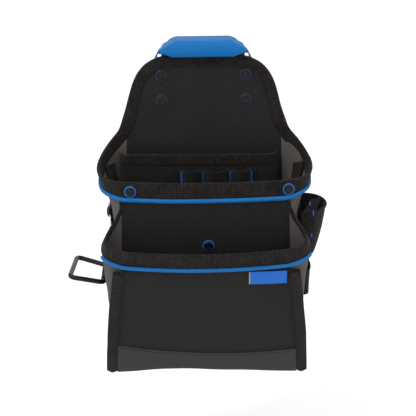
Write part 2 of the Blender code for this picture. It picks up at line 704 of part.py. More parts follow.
def make_clip(frame, looks):
    rear = CLIP_PLATE_Y + CLIP_PLATE
    bridge_end = rear + BELT_GAP
    section = [(CLIP_FRONT_Y, CLIP_LIP_Z), (CLIP_FRONT_Y - 0.8, CLIP_LIP_Z + 5.0),
               (CLIP_FRONT_Y + 1.0, CLIP_TOP_Z - 3.5),
               (CLIP_FRONT_Y + 4.0, CLIP_TOP_Z), (bridge_end, CLIP_TOP_Z), (bridge_end, SEAT_Z), (rear,
                                                                                                  SEAT_Z),
               (rear, CLIP_FOOT_Z), (CLIP_PLATE_Y, CLIP_FOOT_Z), (CLIP_PLATE_Y, 342.0),
               (CLIP_FRONT_Y + CLIP_LIP, 342.0), (CLIP_FRONT_Y + CLIP_LIP, CLIP_LIP_Z)]
    base = finish_object("belt_clip_base", prism(section, -56.0, 56.0, "x"), looks["plastic"], frame)
    outline = mirrored_x([(26.0, 355.0), (44.5, 345.0), (51.0, 332.0), (53.0, 320.0), (53.0, 283.0),
                          (47.0, 276.0)])
    keep = finish_object("clip_outline", prism(outline, -20.0, 30.0, "y"), looks["plastic"], frame)
    add_boolean(base, keep, "INTERSECT")
    corner = [(30.0, 337.4), (30.0, 330.0), (60.0, 330.0), (60.0, 345.2), (44.6, 345.2), (44.0, 343.0)]
    for side, sign in (("left", -1.0), ("right", 1.0)):
        shape = [(sign * x, z) for x, z in corner]
        trim = finish_object("clip_trim_" + side, prism(shape, -20.0, CLIP_PLATE_Y - 0.05, "y"),
                             looks["plastic"], frame)
        add_boolean(base, trim, "DIFFERENCE")
        window = [(sign * 43.0, 338.5), (sign * 46.5, 338.5), (sign * 47.5, 333.5), (sign * 43.0, 333.5)]
        hole = finish_object("clip_window_" + side, prism(window, -1.0, 12.0, "y"), looks["plastic"], frame)
        add_boolean(base, hole, "DIFFERENCE")

    hinge = bpy.data.objects.new("clip_tongue_hinge", None)
    bpy.context.collection.objects.link(hinge)
    hinge.parent = frame
    axis = Vector((0.0, bridge_end + GAP, CLIP_TOP_Z))
    hinge.location = axis * MM
    front = bridge_end + GAP
    tip = [(front, CLIP_TOP_Z), (front, TONGUE_TIP_Z + 12.0), (front - 2.6, TONGUE_TIP_Z + 7.0),
           (front - 1.6, TONGUE_TIP_Z + 3.0), (front + 1.4, TONGUE_TIP_Z), (front + TONGUE + 0.8,
                                                                            TONGUE_TIP_Z + 0.6),
           (front + TONGUE, TONGUE_TIP_Z + 8.0), (front + TONGUE, CLIP_TOP_Z - 2.0), (front + TONGUE - 1.6,
                                                                                      CLIP_TOP_Z)]
    tongue = finish_object("belt_clip_tongue", prism(tip, -45.0, 45.0, "x"), looks["plastic"], hinge)
    tongue.location = -axis * MM
    shape = mirrored_x([(26.0, 355.0), (38.0, 349.0), (38.0, 330.0), (32.0, 290.0), (24.0, 270.0),
                        (14.0, 261.0)])
    keep = finish_object("tongue_outline", prism(shape, 10.0, 40.0, "y"), looks["plastic"], frame)
    add_boolean(tongue, keep, "INTERSECT")


def hammer_loop_path():
    """Closed path of the rod in its own plane: (out from the inner bar, along the bar)."""
    inner = LOOP_INNER_Y
    outer = LOOP_OUTER_Y
    corners = [(0.0, inner[0]), (LOOP_REACH, outer[0]), (LOOP_REACH - LOOP_TAPER, outer[1]), (0.0, inner[1])]
    path = []
    for i, centre in enumerate(corners):
        here = Vector((centre[0], centre[1], 0.0))
        before = Vector((*corners[i - 1], 0.0)) - here
        after = Vector((*corners[(i + 1) % 4], 0.0)) - here
        start = here + before.normalized() * LOOP_CORNER
        end = here + after.normalized() * LOOP_CORNER
        for k in range(5):
            t = k / 4.0
            path.append(start * (1 - t) ** 2 + here * 2 * t * (1 - t) + end * t * t)
    return path


def make_hammer_loop(frame, looks):
    hinge = bpy.data.objects.new("hammer_loop_hinge", None)
    bpy.context.collection.objects.link(hinge)
    hinge.parent = frame
    hinge.location = Vector((LOOP_AXIS_X, 0.0, LOOP_AXIS_Z)) * MM
    path = []
    for point in hammer_loop_path():
        out = point.x
        x = LOOP_AXIS_X - out * math.cos(LOOP_RISE)
        z = LOOP_AXIS_Z + out * math.sin(LOOP_RISE)
        path.append(Vector((x, point.y, z)))
    side_axis = Vector((math.sin(LOOP_RISE), 0.0, math.cos(LOOP_RISE)))
    stations = []
    for i, point in enumerate(path):
        run = path[(i + 1) % len(path)] - path[i - 1]
        across = run.cross(side_axis).normalized()
        stations.append((point, across, side_axis))
    circle = []
    for k in range(10):
        angle = 2.0 * math.pi * k / 10.0
        circle.append((ROD_RADIUS * math.cos(angle), ROD_RADIUS * math.sin(angle)))
    loop = finish_object("hammer_loop", sweep(stations, circle, cyclic=True), looks["rod"], hinge,
                         smooth=True)
    loop.location = -Vector((LOOP_AXIS_X, 0.0, LOOP_AXIS_Z)) * MM

    bore = ROD_RADIUS + GAP
    wall = STRAP_WEBBING
    face = LOOP_AXIS_X + ROD_RADIUS + STRAP_SET_BACK
    outer = [(face, LOOP_STRAP_TOP_Z)]
    inner = [(face + wall, LOOP_STRAP_TOP_Z)]
    for k in range(13):
        angle = math.radians(60.0 + 290.0 * k / 12.0)
        outer.append((LOOP_AXIS_X + (bore + wall) * math.cos(angle),
                      LOOP_AXIS_Z + (bore + wall) * math.sin(angle)))
    ring_in = []
    for k in range(13):
        angle = math.radians(60.0 + 290.0 * k / 12.0)
        ring_in.append((LOOP_AXIS_X + bore * math.cos(angle), LOOP_AXIS_Z + bore * math.sin(angle)))
    outline = outer + list(reversed(ring_in)) + [(inner[0][0], LOOP_AXIS_Z + 9.0), inner[0]]
    finish_object("hammer_loop_strap", prism(outline, *LOOP_STRAP_Y, "y"), looks["tape"], frame, smooth=True)


def side_backing_x(z):
    """Inner face of the webbing that the sleeves are sewn to."""
    low, high = SLEEVE_PATCH_Z
    return SLEEVE_PATCH_X[0] + (SLEEVE_PATCH_X[1] - SLEEVE_PATCH_X[0]) * (z - low) / (high - low)


def sleeve_surface(heights, bulges, back, front):
    """Half tube on the backing: its bottom and top heights, its bulge there, and its ends."""
    def face(u, v):
        angle = math.pi * u
        z = heights[0] + (heights[1] - heights[0]) * v + SLEEVE_TILT * v * math.cos(angle)
        bulge = bulges[0] + (bulges[1] - bulges[0]) * v
        half = (back - front) / 2.0 * (0.70 + 0.30 * v)
        x = side_backing_x(z) + SLEEVE_PATCH + 0.7 + bulge * math.sin(angle) ** 0.8
        return Vector((x, (back + front) / 2.0 + half * math.cos(angle), z))
    return face


def make_side_sleeves(frame, looks):
    def patch(u, v):
        front, back = SLEEVE_PATCH_Y
        z = SLEEVE_PATCH_Z[0] + (SLEEVE_PATCH_Z[1] - SLEEVE_PATCH_Z[0]) * v
        return Vector((side_backing_x(z), back + (front - back) * u, z))

    finish_object("side_backing_right", sheet(patch, 1, 4, -SLEEVE_PATCH), looks["tape"], frame)
    upper = sleeve_surface((131.0, 187.0), (8.0, 22.5), -9.0, -49.0)
    finish_object("side_sleeve_upper", sheet(upper, 14, 5, 1.4), looks["weave"], frame, smooth=True)
    lower = sleeve_surface((88.0, 119.0), (6.5, 8.0), -14.0, -42.0)
    finish_object("side_sleeve_lower", sheet(lower, 12, 3, 1.2), looks["tape"], frame, smooth=True)


def make_trim(frame, looks):
    def label(u, v):
        x = 43.0 + 38.5 * u
        z = 118.5 + 15.0 * v
        across = x / along(FIN_X, z)
        y = lower_front_y(z) + lower_bow(z) * across ** 2 - FABRIC - 0.7
        return Vector((x, y, z))

    finish_object("flag_label", sheet(label, 3, 2, 0.7), looks["label"], frame)
    for side, sign in (("left", -1.0), ("right", 1.0)):
        def patch(u, v, sign=sign):
            t = PATCH_START + PATCH_WIDTH * u
            z = PATCH_Z[0] + (PATCH_Z[1] - PATCH_Z[0]) * v
            point = upper_gusset_point(t, z)
            return Vector((sign * (point.x - PATCH_CLEARANCE), point.y, z))
        finish_object("gusset_patch_" + side, sheet(patch, 3, 2, sign * PATCH_THICKNESS), looks["tape"], frame)


def main():
    clear_scene()
    looks = {
        "weave": material("black_weave", BLACK_WEAVE, 0.9),
        "tape": material("black_tape", BLACK_TAPE, 0.85),
        "grey": material("grey_cloth", GREY_CLOTH, 0.9),
        "vinyl": material("dark_vinyl", DARK_VINYL, 0.6),
        "board": material("stiffener_board", BOARD, 0.6),
        "trim": material("blue_trim", BLUE_TRIM, 0.55),
        "plastic": material("blue_plastic", BLUE_PLASTIC, 0.38),
        "label": material("blue_label", BLUE_LABEL, 0.7),
        "metal": material("black_rivet", BLACK_METAL, 0.35, 0.9),
        "rod": material("black_rod", BLACK_METAL, 0.4, 0.2),
    }
    frame = bpy.data.objects.new("pouch_frame", None)
    bpy.context.collection.objects.link(frame)
    frame.location = -ORIGIN * MM
    stack = make_back(frame, looks)
    make_gussets(frame, looks)
    make_fronts(frame, looks)
    make_rims(frame, looks)
    make_piping(frame, looks)
    make_edge_tapes(frame, looks, stack)
    make_inner_pocket(frame, looks)
    make_rivets(frame, looks)
    make_clip(frame, looks)
    make_hammer_loop(frame, looks)
    make_side_sleeves(frame, looks)
    make_trim(frame, looks)


main()
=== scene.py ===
"""Looks of the electrician's tool pouch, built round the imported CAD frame.

Lengths are in millimetres in pouch coordinates: Y is zero on the front face of the back panel
and grows towards the wearer, Z is zero under the base.  new_object() and from_bmesh() turn
them into the frame's metres.
"""
import json
import math

import bmesh
import bpy
import numpy as np
from mathutils import Matrix, Vector, noise

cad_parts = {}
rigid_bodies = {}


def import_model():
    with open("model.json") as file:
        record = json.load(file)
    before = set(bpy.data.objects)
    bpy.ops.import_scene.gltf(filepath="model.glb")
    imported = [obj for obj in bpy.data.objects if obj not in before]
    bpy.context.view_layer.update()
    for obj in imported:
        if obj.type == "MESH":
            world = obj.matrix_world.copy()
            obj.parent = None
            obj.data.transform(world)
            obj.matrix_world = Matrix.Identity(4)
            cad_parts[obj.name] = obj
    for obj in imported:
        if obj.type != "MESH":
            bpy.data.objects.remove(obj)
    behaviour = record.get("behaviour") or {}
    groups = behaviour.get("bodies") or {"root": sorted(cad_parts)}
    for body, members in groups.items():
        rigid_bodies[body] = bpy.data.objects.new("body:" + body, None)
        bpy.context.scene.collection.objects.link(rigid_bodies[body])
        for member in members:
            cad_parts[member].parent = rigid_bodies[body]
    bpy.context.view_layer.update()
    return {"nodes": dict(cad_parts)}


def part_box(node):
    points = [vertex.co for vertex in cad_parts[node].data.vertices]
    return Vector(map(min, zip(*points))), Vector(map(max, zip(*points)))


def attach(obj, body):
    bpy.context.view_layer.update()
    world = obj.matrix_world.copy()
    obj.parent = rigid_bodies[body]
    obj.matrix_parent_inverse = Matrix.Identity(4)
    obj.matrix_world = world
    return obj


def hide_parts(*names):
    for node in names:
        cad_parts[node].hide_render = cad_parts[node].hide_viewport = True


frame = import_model()

MM = 0.001
PANEL_FRONT_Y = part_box("back_panel")[0].y / MM
FLOOR_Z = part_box("base_panel")[0].z / MM

# Sizes in millimetres.  Rims, slopes and the hem are shaped a little more closely than in the CAD
FABRIC = 1.6
TAPE = 0.9
STACK = 3.6
BASE_Z = 2.2
BACK_OUTLINE = [(43.0, 336.0), (51.0, 333.0), (60.0, 327.5), (67.0, 319.0), (72.0, 309.0),
                (75.5, 297.0), (79.5, 281.0), (83.0, 268.0), (84.5, 255.0), (85.5, 200.0),
                (90.0, 150.0), (93.5, 100.0), (96.5, 50.0), (98.5, BASE_Z)]
UPPER_RIM_Z = 220.5
UPPER_RIM_SAG = 2.0
UPPER_DEPTH = 60.0
UPPER_BASE_DEPTH = 22.0
UPPER_BOW = 2.5
UPPER_BACK_X = [(0.0, 95.0), (50.0, 93.0), (100.0, 90.0), (150.0, 86.5), (200.0, 82.0), (265.0, 80.0)]
UPPER_SEAM_X = [(0.0, 90.0), (150.0, 87.0), (220.5, 86.0)]
UPPER_BULGE_X = [(0.0, 204.0), (100.0, 203.0), (150.0, 201.0), (182.0, 198.0), (195.0, 201.0), (206.0, 212.0),
                 (222.0, 229.0), (238.0, 235.0), (265.0, 237.0)]
UPPER_EDGE_Z = [(0.0, 265.0), (0.12, 257.0), (0.26, 246.0), (0.40, 236.5), (0.55, 229.0),
                (0.68, 224.5), (0.85, 221.5), (1.0, 220.5)]
LOWER_RIM_Z = 157.0
LOWER_RIM_SAG = 3.0
LOWER_DEPTH = 95.0
LOWER_BASE_DEPTH = 33.0
LOWER_BELLY = 3.0
LOWER_BOW = 5.0
LOWER_START = 1.0
LOWER_BACK_X = [(0.0, 88.0), (150.0, 84.0), (200.0, 83.0)]
LOWER_SEAM_X = [(0.0, 94.0), (55.0, 91.0), (98.0, 87.0), (135.0, 83.0), (157.0, 82.0)]
LOWER_BULGE_X = [(0.0, 205.0), (75.0, 207.0), (105.0, 213.0), (125.0, 219.0), (142.0, 223.0), (157.0, 223.0),
                 (166.0, 213.0), (178.0, 198.0), (190.0, 185.0), (201.0, 177.0)]
LOWER_TUCK = [(0.0, 2.8), (135.5, 2.8), (146.0, 0.0)]
LOWER_EDGE_Z = [(0.0, 201.0), (0.15, 190.5), (0.3, 177.0), (0.5, 164.0), (0.75, 158.0), (1.0, 157.0)]
FIN_X = [(0.0, 107.5), (55.0, 104.5), (98.0, 100.0), (136.0, 95.0)]
FIN_TOP_Z = 134.0
FIN_TAPE = 10.5
RIM_BAND = 15.8
RIM_SIDE_BAND = 12.8
RIM_INNER_BAND = 13.0
SLOPE_BAND = 11.0
SLOPE_INNER_BAND = 13.0
RIM_END = 0.44
ARCH_TAPE = 10.5
ARCH_SLOPE_TAPE = 12.0
PIPING_RADIUS = 2.0
PIPING_SKIP = 6
TOE_Z = (40.5, 28.5, 32.0)
FOOT_LIFT = [(-104.0, 2.5), (-86.0, 3.0), (-72.0, 3.5), (-54.0, 6.2), (-18.0, 6.2), (10.0, 4.0), (40.0, 3.0),
             (70.0, 1.0), (95.0, 0.0)]
INNER_TOP_Z = 237.0
INNER_BASE_Z = 122.0
INNER_LEFT_X = -87.0
INNER_RIGHT_X = 75.0
INNER_DEPTH = 17.0
INNER_FOOT = 0.6
INNER_PANEL = 1.3
LOOP_STOPS = (-24.0, -2.0, 26.5, 48.5)
LOOP_BULGES = (9.5, 12.5, 9.5)
LOOP_Z = (176.0, 222.0)
LOOP_VALLEY = 1.7
SLEEVE_PATCH = 1.2
SLEEVE_PATCH_Y = (-48.0, -8.0)
SLEEVE_PATCH_Z = (82.0, 187.0)
SLEEVE_PATCH_X = [(82.0, 100.5), (150.0, 99.0), (187.0, 97.0)]
ROD_RADIUS = 2.6
LOOP_AXIS = (-106.0, 110.0)
LOOP_REACH = 36.0
LOOP_RISE = math.radians(15.0)
LOOP_STRAP_Y = (-42.0, -8.0)
LOOP_STRAP_TOP_Z = 188.0
LOOP_STRAP_X = [(LOOP_AXIS[1] + 9.0, -103.2), (135.0, -100.6), (150.0, -98.4), (176.0, -97.2), (188.0, -99.6)]

CLIP_RIVET_X = 43.5
CLIP_RIVET_Z = (("upper", 317.5), ("lower", 291.0))
RIM_RIVET_X = (("left", -76.0), ("right", 84.0))
STRAP_RIVET = (-25.0, 179.5)
FLOOR_DROP = 0.12

# Camera at the photo's angle, and the studio lamps: name, place, size and power
CAMERA_ANGLES = (-0.9, 18.0, -0.6)
CAMERA_DISTANCE = 1.6
CAMERA_TARGET = (0.0, -0.0534, -0.1597)
CAMERA_LENS = 134.4
CAMERA_SHIFT = 0.0066
LAMP_AIM = (0.0, -0.05, -0.16)
LAMPS = (("key", (-1.0, -1.3, 1.7), 0.9, 30.0), ("fill", (1.5, -1.4, 0.7), 1.4, 6.0),
         ("top", (0.1, 0.1, 1.9), 1.0, 14.0))

FRONT = Vector((0.0, -1.0, 0.0))


# ------------------------------------------------------------------------- small mathematics

def along(table, value):
    """The value of a table of (position, value) pairs, straight between its rows."""
    if value <= table[0][0]:
        return table[0][1]
    for (low, first), (high, second) in zip(table, table[1:]):
        if value <= high:
            return first + (second - first) * (value - low) / (high - low)
    return table[-1][1]


def soft_along(table, value, width):
    """The same table with its corners rounded over the width."""
    return sum(along(table, value + width * k) for k in (-1.0, -0.5, 0.0, 0.5, 1.0)) / 5.0


def smoothstep(low, high, value):
    t = min(max((value - low) / (high - low), 0.0), 1.0)
    return t * t * (3.0 - 2.0 * t)


def bezier(points, t):
    a, b, c, d = points
    s = 1.0 - t
    return a * s ** 3 + b * 3.0 * t * s * s + c * 3.0 * t * t * s + d * t ** 3


def wobble(x, y, z, scale, seed=0.0):
    """Smooth noise from -1 to 1 with bumps about as long as the scale."""
    return noise.noise(Vector((x / scale + seed, y / scale - seed, z / scale + 2.0 * seed)))


# ---------------------------------------------------------------- walls of the two pockets

def upper_front_y(z):
    rise = min(z / UPPER_RIM_Z, 1.0)
    return -(UPPER_BASE_DEPTH + (UPPER_DEPTH - UPPER_BASE_DEPTH) * (1.0 - (1.0 - rise) ** 2))


def lower_front_y(z):
    rise = min(z / LOWER_RIM_Z, 1.0)
    belly = LOWER_BELLY * math.sin(math.pi * max(rise, 0.0))
    return -(LOWER_BASE_DEPTH + (LOWER_DEPTH - LOWER_BASE_DEPTH) * rise + belly)


def lower_bow(z):
    return LOWER_BOW * min(max(z, 0.0) / LOWER_RIM_Z, 1.0)


def upper_gusset_point(t, z):
    depth = upper_front_y(z) + UPPER_BOW
    bulge = soft_along(UPPER_BULGE_X, z, 8.0) / 2.0
    spread = 11.0 * (bulge - 101.5) / 15.5
    start = Vector((soft_along(UPPER_BACK_X, z, 8.0), -0.4, z))
    first = Vector((bulge - spread, depth * 0.10, z))
    second = Vector((bulge + spread, depth * 0.87, z))
    end = Vector((along(UPPER_SEAM_X, z), depth, z))
    return bezier((start, first, second, end), t)


def lower_gusset_point(t, z):
    front = lower_front_y(z) + lower_bow(z) + along(LOWER_TUCK, z)
    back = upper_front_y(z) + UPPER_BOW - LOWER_START
    bulge = soft_along(LOWER_BULGE_X, z, 8.0) / 2.0
    start = Vector((along(LOWER_BACK_X, z), back, z))
    first = Vector((bulge - 2.0, back - 0.5, z))
    second = Vector((bulge + 2.0, front + 0.28 * (back - front), z))
    end = Vector((along(LOWER_SEAM_X, z), front, z))
    return bezier((start, first, second, end), t)


def round_wall(gusset_point, seam_x, front_y, bow):
    """One wall from the left back corner (0) by the front seams (1, 2) to the right one (3)."""
    def point(q, z):
        if q <= 1.0:
            side = gusset_point(q, z)
            return Vector((-side.x, side.y, side.z))
        if q >= 2.0:
            return gusset_point(3.0 - q, z)
        across = 2.0 * (q - 1.5)
        return Vector((along(seam_x, z) * across, front_y(z) + bow(z) * across ** 2, z))
    return point


upper_wall = round_wall(upper_gusset_point, UPPER_SEAM_X, upper_front_y, lambda z: UPPER_BOW)
lower_wall = round_wall(lower_gusset_point, LOWER_SEAM_X, lower_front_y, lower_bow)


def edge_height(q, edge_table, sag):
    if q <= 1.0:
        return soft_along(edge_table, q, 0.06)
    if q >= 2.0:
        return soft_along(edge_table, 3.0 - q, 0.06)
    across = 2.0 * (q - 1.5)
    return edge_table[-1][1] - sag * (1.0 - across ** 2)


def wall_frame(wall, q, z):
    """Point, downward direction and outward normal of a wall."""
    point = wall(q, z)
    down = (wall(q, z - 8.0) - point).normalized()
    run = wall(min(q + 0.03, 3.0), z) - wall(max(q - 0.03, 0.0), z)
    return point, down, down.cross(run).normalized()


def rim_stations(wall, edge_table, sag, low, high, count, half):
    """Places along a pocket's top edge: (middle of the cloth, down, outward, half thickness)."""
    stations = []
    for k in range(count + 1):
        q = low + (high - low) * k / count
        point, down, outward = wall_frame(wall, q, edge_height(q, edge_table, sag))
        stations.append((point + outward * (FABRIC / 2.0), down, outward, half))
    return stations


def arch_stations():
    """Edge of the back panel's arch, from the left shoulder over the top to the right one."""
    half = [p for p in BACK_OUTLINE if p[1] >= 280.0]
    points = [(-x, z) for x, z in reversed(half)] + half
    stations = []
    for i, (x, z) in enumerate(points):
        before = points[max(i - 1, 0)]
        after = points[min(i + 1, len(points) - 1)]
        run = Vector((after[0] - before[0], 0.0, after[1] - before[1])).normalized()
        inward = Vector((run.z, 0.0, -run.x))
        stations.append((Vector((x, STACK / 2.0, z)), inward, Vector((0.0, 1.0, 0.0)), STACK / 2.0))
    return stations


def resample(stations, spacing, smoothing=2):
    """Evenly spaced stations on the same line, with directions and places smoothed."""
    points = np.array([[*s[0], *s[1], *s[2], s[3]] for s in stations])
    steps = np.linalg.norm(np.diff(points[:, :3], axis=0), axis=1)
    length = np.concatenate([[0.0], np.cumsum(steps)])
    count = max(int(round(length[-1] / spacing)), 2)
    at = np.linspace(0.0, length[-1], count + 1)
    even = np.stack([np.interp(at, length, points[:, k]) for k in range(points.shape[1])], axis=1)
    for _ in range(smoothing):
        inner = (even[:-2] + 2.0 * even[1:-1] + even[2:]) / 4.0
        even = np.concatenate([even[:1], inner, even[-1:]])
    made = []
    for k, row in enumerate(even):
        run = Vector(even[min(k + 1, count)][:3] - even[max(k - 1, 0)][:3]).normalized()
        down = Vector(row[3:6])
        down = (down - run * down.dot(run)).normalized()
        outward = Vector(row[6:9])
        outward = (outward - down * outward.dot(down)).normalized()
        made.append((Vector(row[:3]), down, outward, float(row[9])))
    return made


# --------------------------------------------------------------------------- mesh builders

def new_object(name, vertices, faces, look, uvs=None, smooth_angle=40.0):
    """A mesh object in the row frame from pouch millimetres, with its cloth map in millimetres."""
    mesh = bpy.data.meshes.new(name)
    shift = np.array([0.0, PANEL_FRONT_Y, FLOOR_Z])
    points = (np.asarray(vertices, float) + shift) * MM
    mesh.from_pydata(points.tolist(), [], faces)
    if uvs is not None:
        layer = mesh.uv_layers.new(name="cloth")
        loops = np.zeros(len(mesh.loops), np.int32)
        mesh.loops.foreach_get("vertex_index", loops)
        layer.data.foreach_set("uv", np.asarray(uvs, np.float32)[loops].ravel())
    mesh.materials.append(look)
    mesh.shade_smooth()
    mesh.set_sharp_from_angle(angle=math.radians(smooth_angle))
    obj = bpy.data.objects.new(name, mesh)
    bpy.context.collection.objects.link(obj)
    return obj


def from_bmesh(name, bm, look, smooth_angle=40.0):
    bmesh.ops.recalc_face_normals(bm, faces=bm.faces)
    bmesh.ops.translate(bm, vec=(0.0, PANEL_FRONT_Y, FLOOR_Z), verts=bm.verts)
    bmesh.ops.scale(bm, vec=(MM, MM, MM), verts=bm.verts)
    mesh = bpy.data.meshes.new(name)
    bm.to_mesh(mesh)
    bm.free()
    mesh.materials.append(look)
    mesh.shade_smooth()
    mesh.set_sharp_from_angle(angle=math.radians(smooth_angle))
    obj = bpy.data.objects.new(name, mesh)
    bpy.context.collection.objects.link(obj)
    return obj


def settle(obj, slot_name, *nodes, body="pouch"):
    """The piece rides on a body and stands for CAD nodes; its slot name is not used."""
    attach(obj, body)
    if nodes:
        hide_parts(*nodes)
    return obj


def lattice(surface, columns, rows):
    """Points of surface(u, v) as an array of rows by columns."""
    grid = np.zeros((rows + 1, columns + 1, 3))
    for j in range(rows + 1):
        for i in range(columns + 1):
            grid[j, i] = surface(i / columns, j / rows)
    return grid


def slab(name, grid, thickness, look, turn=False):
    """A closed sheet: the grid of points and a copy moved by the thickness along its normals.

    The cloth map runs along the rows and columns in millimetres, and is turned on request.
    """
    rows, columns = grid.shape[0] - 1, grid.shape[1] - 1
    along_u = np.gradient(grid, axis=1)
    along_v = np.gradient(grid, axis=0)
    normals = np.cross(along_u, along_v)
    normals /= np.maximum(np.linalg.norm(normals, axis=2, keepdims=True), 1e-9)
    far = grid + normals * thickness
    u = np.concatenate([np.zeros((rows + 1, 1)),
                        np.cumsum(np.linalg.norm(np.diff(grid, axis=1), axis=2), axis=1)],
                       axis=1)
    u -= u[:, columns // 2][:, None]
    v = np.concatenate([np.zeros((1, columns + 1)),
                        np.cumsum(np.linalg.norm(np.diff(grid, axis=0), axis=2), axis=0)],
                       axis=0)
    uv = np.stack([v, u] if turn else [u, v], axis=2).reshape(-1, 2)
    count = (rows + 1) * (columns + 1)
    vertices = np.concatenate([grid.reshape(-1, 3), far.reshape(-1, 3)])
    uvs = np.concatenate([uv, uv])
    index = np.arange(count).reshape(rows + 1, columns + 1)
    a, b = index[:-1, :-1].ravel(), index[:-1, 1:].ravel()
    c, d = index[1:, 1:].ravel(), index[1:, :-1].ravel()
    near_faces = np.stack([a, d, c, b], axis=1)
    far_faces = np.stack([a, b, c, d], axis=1) + count
    rim = list(index[0, :]) + list(index[1:, -1]) + list(index[-1, -2::-1]) + list(index[-2:0:-1, 0])
    rim_faces = []
    for p, q in zip(rim, rim[1:] + rim[:1]):
        rim_faces.append([p, q, q + count, p + count])
    faces = near_faces.tolist() + far_faces.tolist() + [[int(x) for x in f] for f in rim_faces]
    if thickness < 0.0:
        faces = [f[::-1] for f in faces]
    return new_object(name, vertices, faces, look, uvs)


def sweep(name, stations, profile, look, cyclic=False):
    """A profile of (u, v, w) points carried along stations; w is the cloth map across it."""
    count = 0
    vertices = []
    uvs = []
    length = 0.0
    last = None
    for k, (centre, u_axis, v_axis, half) in enumerate(stations):
        if last is not None:
            length += (centre - last).length
        last = centre
        shape = profile(k, half) if callable(profile) else profile
        for u, v, w in shape:
            vertices.append(centre + u_axis * u + v_axis * v)
            uvs.append((length, w))
        count = len(shape)
    faces = []
    rings = len(stations)
    for k in range(rings if cyclic else rings - 1):
        base, following = k * count, ((k + 1) % rings) * count
        for i in range(count):
            j = (i + 1) % count
            faces.append([base + i, following + i, following + j, base + j])
    if not cyclic:
        faces.append([i for i in range(count)])
        faces.append([(rings - 1) * count + i for i in reversed(range(count))])
    obj = new_object(name, [tuple(v) for v in vertices], faces, look, uvs)
    bm = bmesh.new()
    bm.from_mesh(obj.data)
    bmesh.ops.recalc_face_normals(bm, faces=bm.faces)
    bm.to_mesh(obj.data)
    bm.free()
    return obj


def fold_points(outer, inner, half, tape, steps=5):
    """Tape folded round an edge of the half thickness: a closed outline with a round fold."""
    reach = half + tape
    points = [(outer, reach - 0.15, 0.0), (outer - 0.4, reach, 0.4)]
    widths = np.linspace(0.12, 0.88, 4)
    for share in widths:
        points.append((outer * (1.0 - share), reach, outer * share))
    for k in range(steps + 1):
        angle = math.pi / 2.0 - math.pi * k / steps
        points.append((-0.5 * reach * math.cos(angle) - 0.2, reach * math.sin(angle),
                       outer + 2.0 * k / steps))
    for share in widths:
        points.append((inner * share, -reach, outer + 2.0 + inner * share))
    points += [(inner - 0.4, -reach, outer + inner + 1.6), (inner, -reach + 0.15, outer + inner + 2.0)]
    points += [(inner, -half, outer + inner + 2.0), (0.1, -half, outer), (0.1, half, outer),
               (outer, half, 0.0)]
    return points


def band_width(width, centre):
    return width(centre) if callable(width) else width


def tape_piece(name, stations, outer, inner, look, tape=TAPE, seed=1.0, ripple=0.25):
    """Binding tape round an edge, a little uneven along its length."""
    def shape(k, half):
        centre = stations[k][0]
        swell = ripple * wobble(centre.x, centre.y, centre.z, 17.0, seed)
        edge = 0.5 * wobble(centre.x, centre.y, centre.z, 23.0, seed + 5.0)
        made = []
        wide, narrow = band_width(outer, centre) + edge, band_width(inner, centre) + edge
        for u, v, w in fold_points(wide, narrow, half, tape):
            away = v + math.copysign(swell * min(abs(u) / 6.0, 1.0) * 0.6, v) if abs(v) > half + 0.1 else v
            made.append((u, away, w))
        return made
    return sweep(name, stations, shape, look)


def tube(name, points, radius, look, sides=12, cyclic=False):
    """A round tube through the points, with domed ends when it is open."""
    stations = []
    normal = None
    total = len(points)
    for i, point in enumerate(points):
        if cyclic:
            run = points[(i + 1) % total] - points[i - 1]
        else:
            run = points[min(i + 1, total - 1)] - points[max(i - 1, 0)]
        run = run.normalized()
        if normal is None:
            normal = run.orthogonal().normalized()
        normal = (normal - run * normal.dot(run)).normalized()
        stations.append((point, normal, run.cross(normal), 0.0))
    rounds = []
    for k in range(sides):
        angle = 2.0 * math.pi * k / sides
        rounds.append((math.cos(angle), math.sin(angle), 2.0 * math.pi * radius * k / sides))

    def shape(k, half):
        size = radius
        if not cyclic:
            size = radius * (1.0 if 0 < k < total - 1 else 0.55)
        return [(u * size, v * size, w) for u, v, w in rounds]
    return sweep(name, stations, shape, look, cyclic)


def stitches(name, seats, look, length=2.6, gap=1.1, radius=0.32):
    """A row of sunk thread stitches along seats of (point on the surface, normal)."""
    points = np.array([[*p, *n] for p, n in seats])
    steps = np.linalg.norm(np.diff(points[:, :3], axis=0), axis=1)
    distance = np.concatenate([[0.0], np.cumsum(steps)])
    pitch = length + gap
    count = int(distance[-1] / pitch)
    vertices = []
    faces = []
    for k in range(count):
        start = k * pitch + gap / 2.0
        ends = []
        for at in (start, start + length):
            ends.append(np.array([np.interp(at, distance, points[:, c]) for c in range(6)]))
        first, second = Vector(ends[0][:3]), Vector(ends[1][:3])
        up = Vector(ends[0][3:]).normalized()
        run = (second - first).normalized()
        side = run.cross(up).normalized()
        base = len(vertices)
        rings = ((0.0, -0.2, 0.4), (0.15, 0.06, 0.85), (0.5, 0.14, 1.0), (0.85, 0.06, 0.85), (1.0, -0.2, 0.4))
        for share, lift, width in rings:
            centre = first.lerp(second, share) + up * (lift + 0.05)
            for m in range(6):
                angle = 2.0 * math.pi * m / 6.0
                size = radius * width
                vertices.append(centre + side * (size * math.cos(angle)) + up * (size * math.sin(angle)))
        for r in range(4):
            for m in range(6):
                n = (m + 1) % 6
                a, b = base + r * 6 + m, base + r * 6 + n
                faces.append([a, b, b + 6, a + 6])
        faces.append([base + m for m in reversed(range(6))])
        faces.append([base + 24 + m for m in range(6)])
    return new_object(name, [tuple(v) for v in vertices], faces, look, smooth_angle=80.0)


